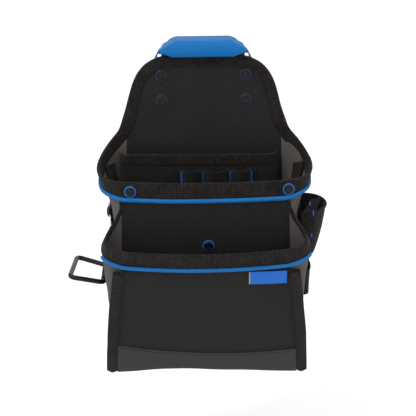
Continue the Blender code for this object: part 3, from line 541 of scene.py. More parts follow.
def tape_seams(name, stations, outer, inner, look, inset=1.6, tape=TAPE):
    """Both rows of stitches that hold a folded tape, one row on each face."""
    rows = []
    for label, reach, sign in (("_outside", outer, 1.0), ("_inside", inner, -1.0)):
        seats = []
        for centre, down, outward, half in stations:
            place = centre + down * (band_width(reach, centre) - inset) + outward * (sign * (half + tape))
            seats.append((place, outward * sign))
        rows.append(stitches(name + label, seats, look))
    return rows


def bound_edge(name, seam, stations, outer, inner, *nodes, look="tape", tape=TAPE, seed=1.0, ripple=0.25,
               inset=1.6, thread="thread"):
    """Binding tape with its stitches, settled on the pouch in place of the nodes."""
    settle(tape_piece(name, stations, outer, inner, LOOKS[look], tape, seed, ripple), "black_tape", *nodes)
    for row in tape_seams(seam, stations, outer, inner, LOOKS[thread], inset, tape):
        settle(row, "black_tape")


def bartack(name, place, turns, half_width, radius, *nodes):
    """Zigzag of thread: place(share) gives its middle line from 0 to 1."""
    thread = []
    for k in range(turns + 1):
        thread.append(place(k / turns) + Vector((half_width if k % 2 else -half_width, 0.0, 0.0)))
    settle(tube(name, thread, radius, LOOKS["blue_thread"], 6), "blue_trim", *nodes)


# ------------------------------------------------------------------------------- materials

class Look:
    """A Principled material with short calls for its nodes."""

    def __init__(self, name, colour, roughness, metallic=0.0):
        self.material = bpy.data.materials.new(name)
        self.material.use_nodes = True
        self.tree = self.material.node_tree
        self.shader = self.tree.nodes["Principled BSDF"]
        self.shader.inputs["Base Color"].default_value = (*colour, 1.0)
        self.shader.inputs["Roughness"].default_value = roughness
        self.shader.inputs["Metallic"].default_value = metallic
        self.material.diffuse_color = (*colour, 1.0)

    def node(self, kind, **settings):
        made = self.tree.nodes.new(kind)
        for key, value in settings.items():
            setattr(made, key, value)
        return made

    def link(self, source, target):
        self.tree.links.new(source, target)

    def maths(self, operation, first, second=None):
        made = self.node("ShaderNodeMath", operation=operation)
        for socket, value in zip(made.inputs, (first, second)):
            if value is None:
                continue
            if isinstance(value, (int, float)):
                socket.default_value = value
            else:
                self.link(value, socket)
        return made.outputs[0]

    def cloth_map(self):
        """The two cloth coordinates, in millimetres."""
        chart = self.node("ShaderNodeUVMap", uv_map="cloth")
        split = self.node("ShaderNodeSeparateXYZ")
        self.link(chart.outputs["UV"], split.inputs[0])
        return split.outputs["X"], split.outputs["Y"]

    def noise(self, scale, detail=2.0, roughness=0.5, vector=None):
        """Noise over the piece's own coordinates; the scale is in bumps per metre."""
        texture = self.node("ShaderNodeTexNoise")
        texture.inputs["Scale"].default_value = scale
        texture.inputs["Detail"].default_value = detail
        texture.inputs["Roughness"].default_value = roughness
        if vector is None:
            vector = self.node("ShaderNodeTexCoord").outputs["Object"]
        self.link(vector, texture.inputs["Vector"])
        return texture.outputs["Fac"]

    def ramp(self, factor, stops):
        made = self.node("ShaderNodeValToRGB")
        elements = made.color_ramp.elements
        while len(elements) < len(stops):
            elements.new(0.5)
        for element, (position, colour) in zip(elements, stops):
            element.position = position
            element.color = (*colour, 1.0)
        self.link(factor, made.inputs[0])
        return made.outputs[0]

    def scale_range(self, value, low, high):
        made = self.node("ShaderNodeMapRange")
        self.link(value, made.inputs["Value"])
        made.inputs["To Min"].default_value = low
        made.inputs["To Max"].default_value = high
        return made.outputs[0]

    def bump(self, height, distance, strength=1.0, onto=None):
        made = self.node("ShaderNodeBump")
        made.inputs["Strength"].default_value = strength
        made.inputs["Distance"].default_value = distance
        self.link(height, made.inputs["Height"])
        if onto is not None:
            self.link(onto, made.inputs["Normal"])
        return made.outputs[0]

    def finish(self, colour=None, roughness=None, normal=None):
        if colour is not None:
            self.link(colour, self.shader.inputs["Base Color"])
        if roughness is not None:
            self.link(roughness, self.shader.inputs["Roughness"])
        if normal is not None:
            self.link(normal, self.shader.inputs["Normal"])
        return self.material


def weave_height(look, pitch):
    """Height of a plain weave from 0 to 1: threads that pass over and under in turn."""
    u, v = look.cloth_map()
    columns = look.maths("DIVIDE", u, pitch)
    rows = look.maths("DIVIDE", v, pitch)
    warp = look.maths("ABSOLUTE", look.maths("SINE", look.maths("MULTIPLY", columns, math.pi)))
    weft = look.maths("ABSOLUTE", look.maths("SINE", look.maths("MULTIPLY", rows, math.pi)))
    cells = look.maths("ADD", look.maths("FLOOR", columns), look.maths("FLOOR", rows))
    over = look.maths("MODULO", look.maths("ABSOLUTE", cells), 2.0)
    mix = look.node("ShaderNodeMix", data_type="FLOAT")
    look.link(over, mix.inputs[0])
    look.link(warp, mix.inputs[2])
    look.link(weft, mix.inputs[3])
    return mix.outputs[0], over


def woven(name, dark, light, pitch, depth, roughness=0.85, mottling=0.5, sheen=0.04):
    """Woven cloth: thread relief, lighter crowns and darker hollows painted from it as painted shade, mottled
    colour and a little dust.
    """
    look = Look(name, dark, roughness)
    height, over = weave_height(look, pitch)
    mottle = look.noise(42.0, 5.0, 0.6)
    fleck = look.noise(900.0, 2.0, 0.7)
    # the thread height goes into the colour too: painted shade in the hollows between threads, lighter crowns
    shade = look.maths("MULTIPLY", height, 0.6)
    shade = look.maths("ADD", shade, look.maths("MULTIPLY", look.maths("SUBTRACT", mottle, 0.5), mottling))
    shade = look.maths("ADD", shade, look.maths("MULTIPLY", look.maths("SUBTRACT", fleck, 0.5), 0.5))
    shade = look.maths("ADD", shade, look.maths("MULTIPLY", over, 0.10))
    colour = look.ramp(shade, [(0.0, dark), (0.85, light)])
    rough = look.scale_range(mottle, roughness - 0.08, roughness + 0.08)
    normal = look.bump(height, depth * MM, 0.9)
    normal = look.bump(mottle, 0.9 * MM, 0.35, normal)
    look.shader.inputs["Sheen Weight"].default_value = sheen
    look.shader.inputs["Sheen Roughness"].default_value = 0.5
    look.shader.inputs["Specular IOR Level"].default_value = 0.2
    return look.finish(colour, rough, normal)


def ribbed(name, dark, light, rib, depth, roughness=0.8, contrast=1.0):
    """Binding tape and webbing: close ribs across the tape, with finer threads along it."""
    look = Look(name, dark, roughness)
    u, v = look.cloth_map()
    sway = look.maths("MULTIPLY", look.noise(90.0, 2.0, 0.5), rib * 0.9)
    ribs = look.maths("SINE", look.maths("MULTIPLY", look.maths("ADD", u, sway), math.pi / rib))
    ribs = look.maths("POWER", look.maths("ABSOLUTE", ribs), 1.6)
    threads = look.maths("ABSOLUTE", look.maths("SINE", look.maths("MULTIPLY", v, math.pi / 0.9)))
    height = look.maths("ADD", look.maths("MULTIPLY", ribs, 0.8), look.maths("MULTIPLY", threads, 0.2))
    mottle = look.noise(60.0, 4.0, 0.6)
    lumps = look.noise(330.0, 3.0, 0.7)
    # the rib and thread height goes into the colour too: painted shade in the grooves, lighter crowns
    shade = look.maths("ADD", look.maths("MULTIPLY", height, 0.75 * contrast), 0.5 - 0.375 * contrast)
    shade = look.maths("ADD", shade,
                       look.maths("MULTIPLY", look.maths("SUBTRACT", mottle, 0.5), 1.1 * contrast))
    shade = look.maths("ADD", shade,
                       look.maths("MULTIPLY", look.maths("SUBTRACT", lumps, 0.5), 2.2 * contrast))
    shade = look.maths("SUBTRACT", shade, 0.10)
    colour = look.ramp(shade, [(0.0, dark), (1.0, light)])
    rough = look.scale_range(mottle, roughness - 0.1, roughness + 0.08)
    normal = look.bump(height, depth * MM, 1.0)
    normal = look.bump(lumps, 0.5 * MM, 0.6 * contrast, normal)
    look.shader.inputs["Sheen Weight"].default_value = 0.03
    look.shader.inputs["Specular IOR Level"].default_value = 0.15
    return look.finish(colour, rough, normal)


def grained(name, dark, light, roughness, grain=700.0, depth=0.15, gloss=0.5):
    """Coated sheet or moulding with a fine pebble grain."""
    look = Look(name, dark, roughness)
    cells = look.node("ShaderNodeTexVoronoi")
    cells.inputs["Scale"].default_value = grain
    look.link(look.node("ShaderNodeTexCoord").outputs["Object"], cells.inputs["Vector"])
    mottle = look.noise(35.0, 4.0, 0.6)
    colour = look.ramp(mottle, [(0.3, dark), (0.75, light)])
    rough = look.scale_range(mottle, roughness - 0.07, roughness + 0.1)
    normal = look.bump(cells.outputs["Distance"], depth * MM, 0.5)
    normal = look.bump(mottle, 1.2 * MM, 0.3, normal)
    look.shader.inputs["Specular IOR Level"].default_value = gloss
    return look.finish(colour, rough, normal)


def coated(name, dark, light, roughness, metallic=0.0, coat=0.0):
    """Painted or coated metal with faint wear and orange peel."""
    look = Look(name, dark, roughness, metallic)
    peel = look.noise(900.0, 2.0, 0.5)
    wear = look.noise(120.0, 5.0, 0.65)
    colour = look.ramp(wear, [(0.35, dark), (0.8, light)])
    rough = look.scale_range(wear, roughness - 0.08, roughness + 0.15)
    normal = look.bump(peel, 0.05 * MM, 0.4)
    look.shader.inputs["Coat Weight"].default_value = coat
    look.shader.inputs["Specular IOR Level"].default_value = 0.22
    look.shader.inputs["Coat Roughness"].default_value = 0.25
    return look.finish(colour, rough, normal)


LOOKS = {
    "weave": woven("black_weave", (0.0030, 0.0030, 0.0031), (0.0150, 0.0146, 0.0144), 1.35, 0.55),
    # a lighter copy of the black weave: painted light on the back panel
    "back": woven("back_weave_painted_light", (0.0036, 0.0036, 0.0037), (0.0185, 0.0181, 0.0178), 1.35, 0.55),
    # a darker copy of the black weave: painted shade on the lower front panel
    "front": woven("front_weave_painted_shade", (0.0026, 0.0026, 0.0027), (0.0126, 0.0123, 0.0121), 1.35, 0.55),
    "lining": woven("black_lining", (0.004, 0.004, 0.004), (0.018, 0.0175, 0.017), 1.0, 0.30),
    "grey": woven("grey_cloth", (0.060, 0.054, 0.051), (0.115, 0.104, 0.098), 0.9, 0.25, 0.88, 0.35),
    "tape": ribbed("black_tape", (0.0012, 0.0009, 0.0008), (0.0230, 0.0180, 0.0155), 1.6, 0.8),
    "webbing": ribbed("black_webbing", (0.0012, 0.0009, 0.0008), (0.0215, 0.0170, 0.0145), 2.4, 1.0),
    "vinyl": grained("dark_vinyl", (0.009, 0.009, 0.0093), (0.016, 0.016, 0.0164), 0.58, gloss=0.35),
    "board": grained("stiffener_board", (0.045, 0.045, 0.047), (0.06, 0.06, 0.062), 0.6, 300.0, 0.05),
    "piping": ribbed("blue_piping", (0.002, 0.095, 0.300), (0.006, 0.150, 0.430), 0.8, 0.18, 0.65, 0.35),
    "thread": woven("black_thread", (0.006, 0.0055, 0.005), (0.022, 0.020, 0.018), 0.6, 0.1),
    # thread coloured darker than the tape: painted shade in the stitch groove
    "groove_shade_thread": woven("groove_shade_thread", (0.0015, 0.0013, 0.0012), (0.006, 0.005, 0.0045), 0.6, 0.1),
    "slot": woven("slot_shadow", (0.0010, 0.0010, 0.0010), (0.0030, 0.0028, 0.0026), 0.9, 0.2),
    "blue_thread": coated("blue_thread", (0.006, 0.150, 0.52), (0.02, 0.24, 0.70), 0.55),
    "washer": coated("blue_washer", (0.004, 0.085, 0.31), (0.010, 0.125, 0.42), 0.45, 0.0, 0.08),
    "dim_washer": coated("dim_washer", (0.004, 0.014, 0.034), (0.008, 0.026, 0.060), 0.35, 0.0, 0.2),
    "plastic": grained("blue_plastic", (0.0030, 0.098, 0.295), (0.0055, 0.116, 0.340), 0.52, 1300.0,
                       0.04, 0.12),
    "label": woven("blue_label", (0.006, 0.075, 0.340), (0.016, 0.160, 0.600), 0.55, 0.10, 0.7, 0.2),
    "label_edge": woven("label_edge", (0.40, 0.28, 0.01), (0.62, 0.47, 0.03), 0.55, 0.10, 0.7, 0.2),
    "cap": coated("black_rivet", (0.0022, 0.0022, 0.0024), (0.006, 0.006, 0.0064), 0.30, 0.0, 0.0),
    "rod": coated("black_rod", (0.0030, 0.0030, 0.0032), (0.007, 0.007, 0.0074), 0.30, 0.0, 0.0),
}


# ------------------------------------------------------------------------------ back panel

def back_half_width(z):
    """Half width of the back panel at a height."""
    table = [(height, x) for x, height in reversed(BACK_OUTLINE)]
    return along(table, z)


def back_face(rear, seed):
    """A layer of the back panel, with its face a little uneven."""
    top = BACK_OUTLINE[0][1]

    def face(u, v):
        rise = 1.0 - (1.0 - v) ** 1.35
        z = BASE_Z + (top - BASE_Z) * rise
        x = (back_half_width(z) - 0.4) * (2.0 * u - 1.0)
        edge = min(u, 1.0 - u) * 170.0
        quiet = smoothstep(0.0, 25.0, min(edge, top - z))
        return Vector((x, rear + quiet * 0.55 * wobble(x, 0.0, z, 38.0, seed), z))
    return face


def make_back():
    # the back panel takes the lighter copy of the weave, painted light
    panel = slab("back_panel_cloth", lattice(back_face(0.0, 1.3), 60, 110), -1.0, LOOKS["back"])
    settle(panel, "black_weave", "back_panel")
    lining = slab("back_lining_cloth", lattice(back_face(2.8, 4.1), 60, 110), -1.0, LOOKS["lining"])
    settle(lining, "black_weave", "back_lining")
    frame["nodes"]["back_stiffener"].data.materials.clear()
    frame["nodes"]["back_stiffener"].data.materials.append(LOOKS["board"])


# ---------------------------------------------------------------------------- side gussets

def crumple(x, y, z, seed, size):
    """Soft creases of a loose cloth: long folds with finer ones on them."""
    broad = wobble(x, y, z * 0.6, 42.0, seed)
    crease = 1.0 - 2.0 * abs(wobble(x, y, z, 24.0, seed + 3.0))
    fine = wobble(x, y, z, 9.0, seed + 7.0)
    return size * (0.9 * broad + 0.45 * (crease - 0.5) + 0.25 * fine)


def make_gussets():
    for side, sign in (("left", -1.0), ("right", 1.0)):
        for level, point_at, edge_table, reach, columns, seed in (
                ("upper", upper_gusset_point, UPPER_EDGE_Z, 0.99, 46, 2.0),
                ("lower", lower_gusset_point, LOWER_EDGE_Z, 0.985, 46, 6.0)):
            def face(u, v, sign=sign, point_at=point_at, edge_table=edge_table, reach=reach, seed=seed):
                z = BASE_Z + (soft_along(edge_table, u, 0.06) - BASE_Z) * v
                point = point_at(u * reach, z)
                free = smoothstep(0.0, 0.14, u) * smoothstep(0.0, 0.10, 1.0 - u)
                free *= smoothstep(0.0, 0.05, v) * smoothstep(0.0, 0.06, 1.0 - v)
                dent = free * (crumple(point.x, point.y, z, seed + sign, 1.5) - 0.8)
                return Vector((sign * (point.x + dent), point.y, z))
            name = level + "_gusset_" + side
            cloth = slab(name + "_cloth", lattice(face, columns, 90), -sign * FABRIC, LOOKS["grey"])
            settle(cloth, "grey_cloth", name)


# ---------------------------------------------------------------------------- front panels

def upper_front_point(x_share, z):
    q = 1.5 + 0.5 * x_share
    return upper_wall(q, z)


def lower_panel_half(z):
    fin = along(FIN_X, z) - 1.6
    seam = along(LOWER_SEAM_X, z) - 0.6
    return fin + (seam - fin) * smoothstep(FIN_TOP_Z - 2.0, FIN_TOP_Z + 2.0, z)


def make_fronts():
    def upper(u, v):
        across = (2.0 * u - 1.0) * 0.99
        z = BASE_Z + (edge_height(1.5 + 0.5 * across, UPPER_EDGE_Z, UPPER_RIM_SAG) - BASE_Z) * v
        point = upper_front_point(across, z)
        free = smoothstep(0.0, 0.10, min(u, 1.0 - u)) * smoothstep(0.0, 0.10, 1.0 - v)
        point.y += free * (0.9 * wobble(point.x, 0.0, z, 46.0, 3.3)
                           + 0.25 * wobble(point.x, 0.0, z, 14.0, 8.1))
        return point

    def lower(u, v):
        across = 2.0 * u - 1.0
        q = 1.5 + 0.5 * across
        foot = BASE_Z + foot_lift(100.0 * across)
        z = foot + (edge_height(q, LOWER_EDGE_Z, LOWER_RIM_SAG) - foot) * v
        half = lower_panel_half(z)
        y = lower_front_y(z) + lower_bow(z) * across ** 2
        free = smoothstep(0.0, 0.12, min(u, 1.0 - u)) * smoothstep(0.0, 0.08, 1.0 - v)
        free *= smoothstep(TOE_Z[1], TOE_Z[1] + 25.0, z)
        x = half * across
        y += free * (0.8 * wobble(x, 0.0, z, 52.0, 5.7) + 0.22 * wobble(x, 0.0, z, 15.0, 9.4))
        return Vector((x, y, z))

    panel = slab("upper_front_cloth", lattice(upper, 90, 100), FABRIC, LOOKS["weave"])
    settle(panel, "black_weave", "upper_front_panel")
    # the lower front panel takes the darker copy of the weave, painted shade
    panel = slab("lower_front_cloth", lattice(lower, 100, 90), FABRIC, LOOKS["front"])
    settle(panel, "black_weave", "lower_front_panel")


def foot_lift(x):
    """How far the bottom edge of the front hangs above the base."""
    return soft_along(FOOT_LIFT, x, 9.0)


def toe_top(across):
    left, middle, right = TOE_Z
    return middle + ((right - left) / 2.0) * across + ((left + right) / 2.0 - middle) * across ** 2


def make_base():
    def toe(u, v):
        across = 2.0 * u - 1.0
        foot = 0.5 + foot_lift(95.0 * across) + 0.4 * wobble(across * 60.0, 0.0, 0.0, 21.0, 2.2)
        z = foot + (toe_top(across) - foot) * v
        half = along(FIN_X, z) - FIN_TAPE - 1.4
        y = lower_front_y(z) + lower_bow(z) * across ** 2 - FABRIC - 0.15
        roll = 0.7 * (1.0 - min(v / 0.12, 1.0)) ** 2
        puff = (0.5 * wobble(across * 90.0, 0.0, z, 30.0, 6.1)
                * smoothstep(0.05, 0.3, v) * smoothstep(0.0, 0.2, 1.0 - v))
        return Vector((half * across, y + roll - abs(puff), z))

    guard = slab("toe_guard_sheet", lattice(toe, 90, 24), 1.2, LOOKS["vinyl"])
    settle(guard, "dark_vinyl", "toe_guard")
    seats = []
    for k in range(121):
        across = -0.985 + 1.97 * k / 120.0
        z = toe_top(across) - 3.2
        half = along(FIN_X, z) - FIN_TAPE - 1.4
        y = lower_front_y(z) + lower_bow(z) * across ** 2 - FABRIC - 1.5
        seats.append((Vector((half * across, y, z)), FRONT))
    settle(stitches("toe_guard_stitches", seats, LOOKS["thread"], 3.0, 1.0), "black_tape")

    def base(u, v):
        rear = 3.0
        front = -(LOWER_BASE_DEPTH - 0.6)
        half = (BACK_OUTLINE[-1][0] - 3.0) + (FIN_X[0][1] - FIN_TAPE - BACK_OUTLINE[-1][0]) * v
        x = half * (2.0 * u - 1.0)
        y = rear + (front - rear) * v
        quiet = smoothstep(0.0, 0.1, min(u, 1.0 - u)) * smoothstep(0.0, 0.15, min(v, 1.0 - v))
        rise = 1.6 + foot_lift(x) * smoothstep(0.35, 1.0, v)
        return Vector((x, y, rise - 0.25 * quiet * (1.0 + wobble(x, y, 0.0, 25.0, 3.0))))

    panel = slab("base_sheet", lattice(base, 60, 16), 1.35, LOOKS["vinyl"])
    settle(panel, "dark_vinyl", "base_panel")


# --------------------------------------------------------------------- bindings and piping

def crease_along(stations, seed, size):
    """Small sideways shifts of a tape, so that it isn't perfectly straight."""
    made = []
    for centre, down, outward, half in stations:
        shift = size * wobble(centre.x, centre.y, centre.z, 30.0, seed)
        made.append((centre + down * shift, down, outward, half))
    return made


def rim_band(centre):
    """Width of a rim tape's outside, narrower round the sides."""
    return RIM_BAND + (RIM_SIDE_BAND - RIM_BAND) * smoothstep(80.0, 101.0, abs(centre.x))


def make_rims():
    upper = ("upper", upper_wall, UPPER_EDGE_Z, UPPER_RIM_SAG, RIM_END, 3.0 - RIM_END)
    lower = ("lower", lower_wall, LOWER_EDGE_Z, LOWER_RIM_SAG, 0.5, 2.5)
    for level, wall, edges, sag, low, high in (upper, lower):
        stations = rim_stations(wall, edges, sag, low, high, 150, FABRIC / 2.0)
        stations = crease_along(resample(stations, 1.6, 6), 2.7, 0.35)
        # the rim seams use the darker thread, painted shade in their stitch grooves
        bound_edge(level + "_rim_tape", level + "_rim_seam", stations, rim_band, RIM_INNER_BAND,
                   level + "_rim_binding", look="webbing", tape=1.0, seed=3.0, ripple=0.45, inset=1.5,
                   thread="groove_shade_thread")
        cord = []
        for centre, down, outward, half in stations[PIPING_SKIP:-PIPING_SKIP]:
            drop = rim_band(centre) + PIPING_RADIUS * 0.75
            cord.append(centre + down * drop + outward * (half + 1.5))
        piece = tube(level + "_piping_cord", cord, PIPING_RADIUS, LOOKS["piping"], 14)
        settle(piece, "blue_trim", level + "_rim_piping")
        lip = []
        for centre, down, outward, half in stations[PIPING_SKIP:-PIPING_SKIP]:
            lip.append((centre + down * (rim_band(centre) - 2.0) + outward * half, down, outward, 0.0))
        flange = sweep(level + "_piping_flange", lip,
                       [(0.0, 0.0, 0.0), (6.5, 0.0, 6.0), (6.5, 0.5, 6.5), (0.0, 0.5, 13.0)],
                       LOOKS["piping"])
        settle(flange, "blue_trim")


def make_arch():
    """One long tape: up the left gusset, over the arch and down the right gusset."""
    left = rim_stations(upper_wall, UPPER_EDGE_Z, 0.0, 0.09, RIM_END + 0.05, 40, FABRIC / 2.0)
    right = rim_stations(upper_wall, UPPER_EDGE_Z, 0.0, 2.95 - RIM_END, 2.91, 40, FABRIC / 2.0)
    line = list(reversed(left)) + arch_stations() + list(reversed(right))
    stations = crease_along(resample(line, 1.7, 9), 9.0, 0.45)

    def inner(centre):
        return ARCH_SLOPE_TAPE + (ARCH_TAPE - ARCH_SLOPE_TAPE) * smoothstep(258.0, 290.0, centre.z)
    bound_edge("arch_tape", "arch_seam", stations, ARCH_TAPE, inner, "arch_binding",
               "upper_slope_binding_left", "upper_slope_binding_right", seed=5.0, ripple=0.5)
    for side, low, high in (("left", 0.03, 0.51), ("right", 2.49, 2.97)):
        stations = rim_stations(lower_wall, LOWER_EDGE_Z, 0.0, low, high, 40, FABRIC / 2.0)
        stations = resample(stations, 1.7, 3)
        bound_edge("lower_slope_tape_" + side, "lower_slope_seam_" + side, stations, SLOPE_BAND,
                   SLOPE_INNER_BAND, "lower_slope_binding_" + side, seed=7.0, ripple=0.4)


def fin_edge(sign, across, z):
    half = along(FIN_X, z) - 1.6
    return Vector((sign * across * half, lower_front_y(z) + lower_bow(z) * across ** 2 - FABRIC / 2.0, z))


def make_side_tapes():
    for side, sign in (("left", -1.0), ("right", 1.0)):
        edge = [p for p in BACK_OUTLINE if p[1] < 264.0]
        stations = []
        for x, z in edge:
            stations.append((Vector((sign * (x + 0.2), STACK / 2.0 + 0.4, z)), Vector((-sign, 0.0, 0.0)),
                             Vector((0.0, 1.0, 0.0)), STACK / 2.0 + 0.1))
        stations = crease_along(resample(stations, 2.0, 2), 11.0 + sign, 0.3)
        tape = tape_piece("back_side_tape_" + side, stations, SLOPE_BAND, 2.2, LOOKS["tape"], 0.8, 12.0, 0.3)
        settle(tape, "black_tape", "back_side_binding_" + side)
        seats = [(c + d * (SLOPE_BAND - 1.6) + o * (h + 0.8), o) for c, d, o, h in stations]
        settle(stitches("back_side_seam_" + side, seats, LOOKS["thread"]), "black_tape")

        stations = []
        for k in range(61):
            foot = 0.9 + (2.6 if sign < 0.0 else 0.0)
            z = foot + (FIN_TOP_Z - 1.3 - foot) * k / 60.0
            point = fin_edge(sign, 1.0, z)
            inward = (fin_edge(sign, 0.85, z) - point).normalized()
            rise = (fin_edge(sign, 1.0, z + 1.0) - point).normalized()
            outward = (rise.cross(inward) * sign).normalized()
            sway = 0.7 * wobble(0.0, 0.0, z, 34.0, 4.0 + sign)
            stations.append((point + inward * sway, inward, outward, FABRIC / 2.0 + 0.4))
        stations = resample(stations, 1.4, 2)
        outer = stations[0][2].y < 0.0
        wide, narrow = (FIN_TAPE, 3.0) if outer else (3.0, FIN_TAPE)

        def profile(k, half, stations=stations, sign=sign, wide=wide, narrow=narrow):
            z = stations[k][0].z
            total = len(stations)
            end = min(k, total - 1 - k) * 1.4
            taper = math.sqrt(max(1.0 - max(1.0 - end / 4.0, 0.0) ** 2, 0.05))
            swell = 1.0 + 0.10 * wobble(0.0, 3.0, z, 11.0, 6.0 + sign)
            made = []
            for u, v, w in fold_points(wide, narrow, half * swell, 0.95):
                middle = (wide - 1.0) / 2.0
                keep = taper if (v > 0.0) == (wide > narrow) else 1.0
                pillow = 0.35 * math.sin(math.pi * min(max(u / max(wide, 1.0), 0.0), 1.0))
                away = v + math.copysign(pillow, v) if abs(v) > half + 0.2 else v
                made.append((middle + (u - middle) * keep, away, w))
            return made
        tape = sweep("front_side_tape_" + side, stations, profile, LOOKS["tape"])
        settle(tape, "black_tape", "front_side_binding_" + side)
        facing = 1.0 if outer else -1.0
        seats = [(c + d * (FIN_TAPE - 1.7) + o * (facing * (h + 0.95 + 0.25)), o * facing)
                 for c, d, o, h in stations[3:-3]]
        settle(stitches("front_side_seam_" + side, seats, LOOKS["thread"], 2.8, 1.2, 0.36), "black_tape")


# ---------------------------------------------------------------------------- inner pocket

def inner_face(u, v):
    x = INNER_LEFT_X + (INNER_RIGHT_X - INNER_LEFT_X) * u
    end = min(u, 1.0 - u)
    least = 0.5 if u < 0.5 else 0.15
    depth = INNER_DEPTH * min(1.0, least + math.sin(min(end / 0.06, 1.0) * math.pi / 2.0))
    z = INNER_BASE_Z + (INNER_TOP_Z - INNER_BASE_Z) * v
    tilt = 1.6 * (0.5 - u) * v
    return Vector((x, -min(depth, INNER_DEPTH) * (INNER_FOOT + (1.0 - INNER_FOOT) * v) - 0.5, z + tilt))


def inner_pocket_y(z):
    level = (z - INNER_BASE_Z) / (INNER_TOP_Z - INNER_BASE_Z)
    return -INNER_DEPTH * (INNER_FOOT + (1.0 - INNER_FOOT) * level) - 0.5


def loop_rise(x):
    for low, high, bulge in zip(LOOP_STOPS, LOOP_STOPS[1:], LOOP_BULGES):
        if low + LOOP_VALLEY < x < high - LOOP_VALLEY:
            share = (x - low - LOOP_VALLEY) / (high - low - 2.0 * LOOP_VALLEY)
            return bulge * math.sin(math.pi * share) ** 0.75
    return 0.0


def make_inner_pocket():
    def face(u, v):
        point = inner_face(u, v)
        quiet = smoothstep(0.0, 0.06, min(u, 1.0 - u)) * smoothstep(0.0, 0.12, 1.0 - v)
        middle = 1.0 - smoothstep(-30.0, -15.0, point.x) * (1.0 - smoothstep(45.0, 60.0, point.x))
        point.y += quiet * middle * 1.0 * wobble(point.x, 0.0, point.z, 30.0, 2.4)
        return point

    panel = slab("inner_pocket_cloth", lattice(face, 110, 50), INNER_PANEL, LOOKS["weave"])
    settle(panel, "black_weave", "inner_pocket_panel")
    stations = []
    for k in range(121):
        u = 0.012 + 0.976 * k / 120.0
        point = inner_face(u, 1.0)
        down = (inner_face(u, 0.9) - point).normalized()
        run = inner_face(min(u + 0.004, 1.0), 1.0) - inner_face(max(u - 0.004, 0.0), 1.0)
        outward = run.cross(-down).normalized()
        if outward.y > 0.0:
            outward.negate()
        stations.append((point + outward * (INNER_PANEL / 2.0), down, outward, INNER_PANEL / 2.0))
    stations = crease_along(resample(stations, 1.6, 5), 3.5, 0.35)
    bound_edge("inner_pocket_tape", "inner_pocket_seam", stations, 10.5, 10.5, "inner_pocket_binding",
               tape=0.95, seed=8.0, ripple=0.4, inset=1.4)

    def strap(u, v):
        x = LOOP_STOPS[0] - 5.0 + (LOOP_STOPS[-1] - LOOP_STOPS[0] + 10.0) * u
        slack = 1.0 - 0.10 * math.sin(math.pi * v)
        z = LOOP_Z[0] + (LOOP_Z[1] - LOOP_Z[0]) * v + 0.5 * wobble(x, 0.0, 0.0, 12.0, 5.0) * (v - 0.5)
        return Vector((x, inner_pocket_y(z) - INNER_PANEL - 0.4 - loop_rise(x) * slack, z))

    webbing = slab("tool_loop_webbing", lattice(strap, 150, 30), 1.3, LOOKS["webbing"])
    settle(webbing, "black_tape", "tool_loop_strap")
    for hem, v in (("top", 0.985), ("bottom", 0.015)):
        edge = [strap(k / 150.0, v) + Vector((0.0, -0.65, 0.0)) for k in range(151)]
        settle(tube("tool_loop_selvedge_" + hem, edge, 0.85, LOOKS["tape"], 8), "black_tape")
    for number, x in enumerate(LOOP_STOPS, start=1):
        def place(share, x=x):
            z = LOOP_Z[1] - 2.0 - 19.0 * share
            return Vector((x, inner_pocket_y(z) - INNER_PANEL - 0.4 - 1.3 - 0.30, z))
        bartack("bartack_thread_%d" % number, place, 22, 1.0, 0.42, "bartack_%d" % number)
        lower = []
        for k in range(8):
            z = LOOP_Z[0] + 3.0 + 2.6 * k
            lower.append((Vector((x, inner_pocket_y(z) - INNER_PANEL - 0.4 - 1.35, z)), FRONT))
        settle(stitches("tool_loop_stitches_%d" % number, lower, LOOKS["blue_thread"], 2.0, 1.4, 0.35),
               "blue_trim")


# ---------------------------------------------------------------------------------- rivets

def turned(name, profile, seat, axis, look, segments=40):
    turn = axis.to_track_quat("Z", "Y").to_matrix()
    bm = bmesh.new()
    rings = []
    for radius, height in profile:
        if radius == 0.0:
            rings.append([bm.verts.new(seat + turn @ Vector((0.0, 0.0, height)))])
            continue
        ring = []
        for k in range(segments):
            angle = 2.0 * math.pi * k / segments
            place = Vector((radius * math.cos(angle), radius * math.sin(angle), height))
            ring.append(bm.verts.new(seat + turn @ place))
        rings.append(ring)
    for first, second in zip(rings, rings[1:]):
        for k in range(segments):
            m = (k + 1) % segments
            corners = [first[k % len(first)], first[m % len(first)], second[m % len(second)],
                       second[k % len(second)]]
            bm.faces.new(list(dict.fromkeys(corners)))
    return from_bmesh(name, bm, look, 50.0)


CAP_PROFILE = [(0.0, 0.6), (4.6, 0.6), (5.0, 0.95), (5.0, 1.35), (4.75, 1.85), (4.3, 2.25), (3.6, 2.55),
               (2.9, 2.65), (2.3, 2.55), (1.9, 2.25), (1.6, 2.1), (0.8, 2.2), (0.0, 2.25)]
WASHER_PROFILE = [(0.0, 0.0), (6.0, 0.0), (6.2, 0.2), (6.2, 0.75), (5.9, 1.05), (5.3, 1.1), (0.0, 1.1)]
BURR_PROFILE = [(0.0, 0.0), (4.4, 0.0), (4.6, 0.2), (4.4, 0.7), (3.6, 0.95), (2.2, 1.0), (1.9, 0.6),
                (0.0, 0.55)]


def make_rivet(name, seat, outward, washer_look):
    settle(turned(name + "_cap_head", CAP_PROFILE, seat, outward, LOOKS["cap"]), "black_rivet", name + "_cap")
    settle(turned(name + "_washer_ring", WASHER_PROFILE, seat, outward, washer_look), "blue_trim",
           name + "_washer")


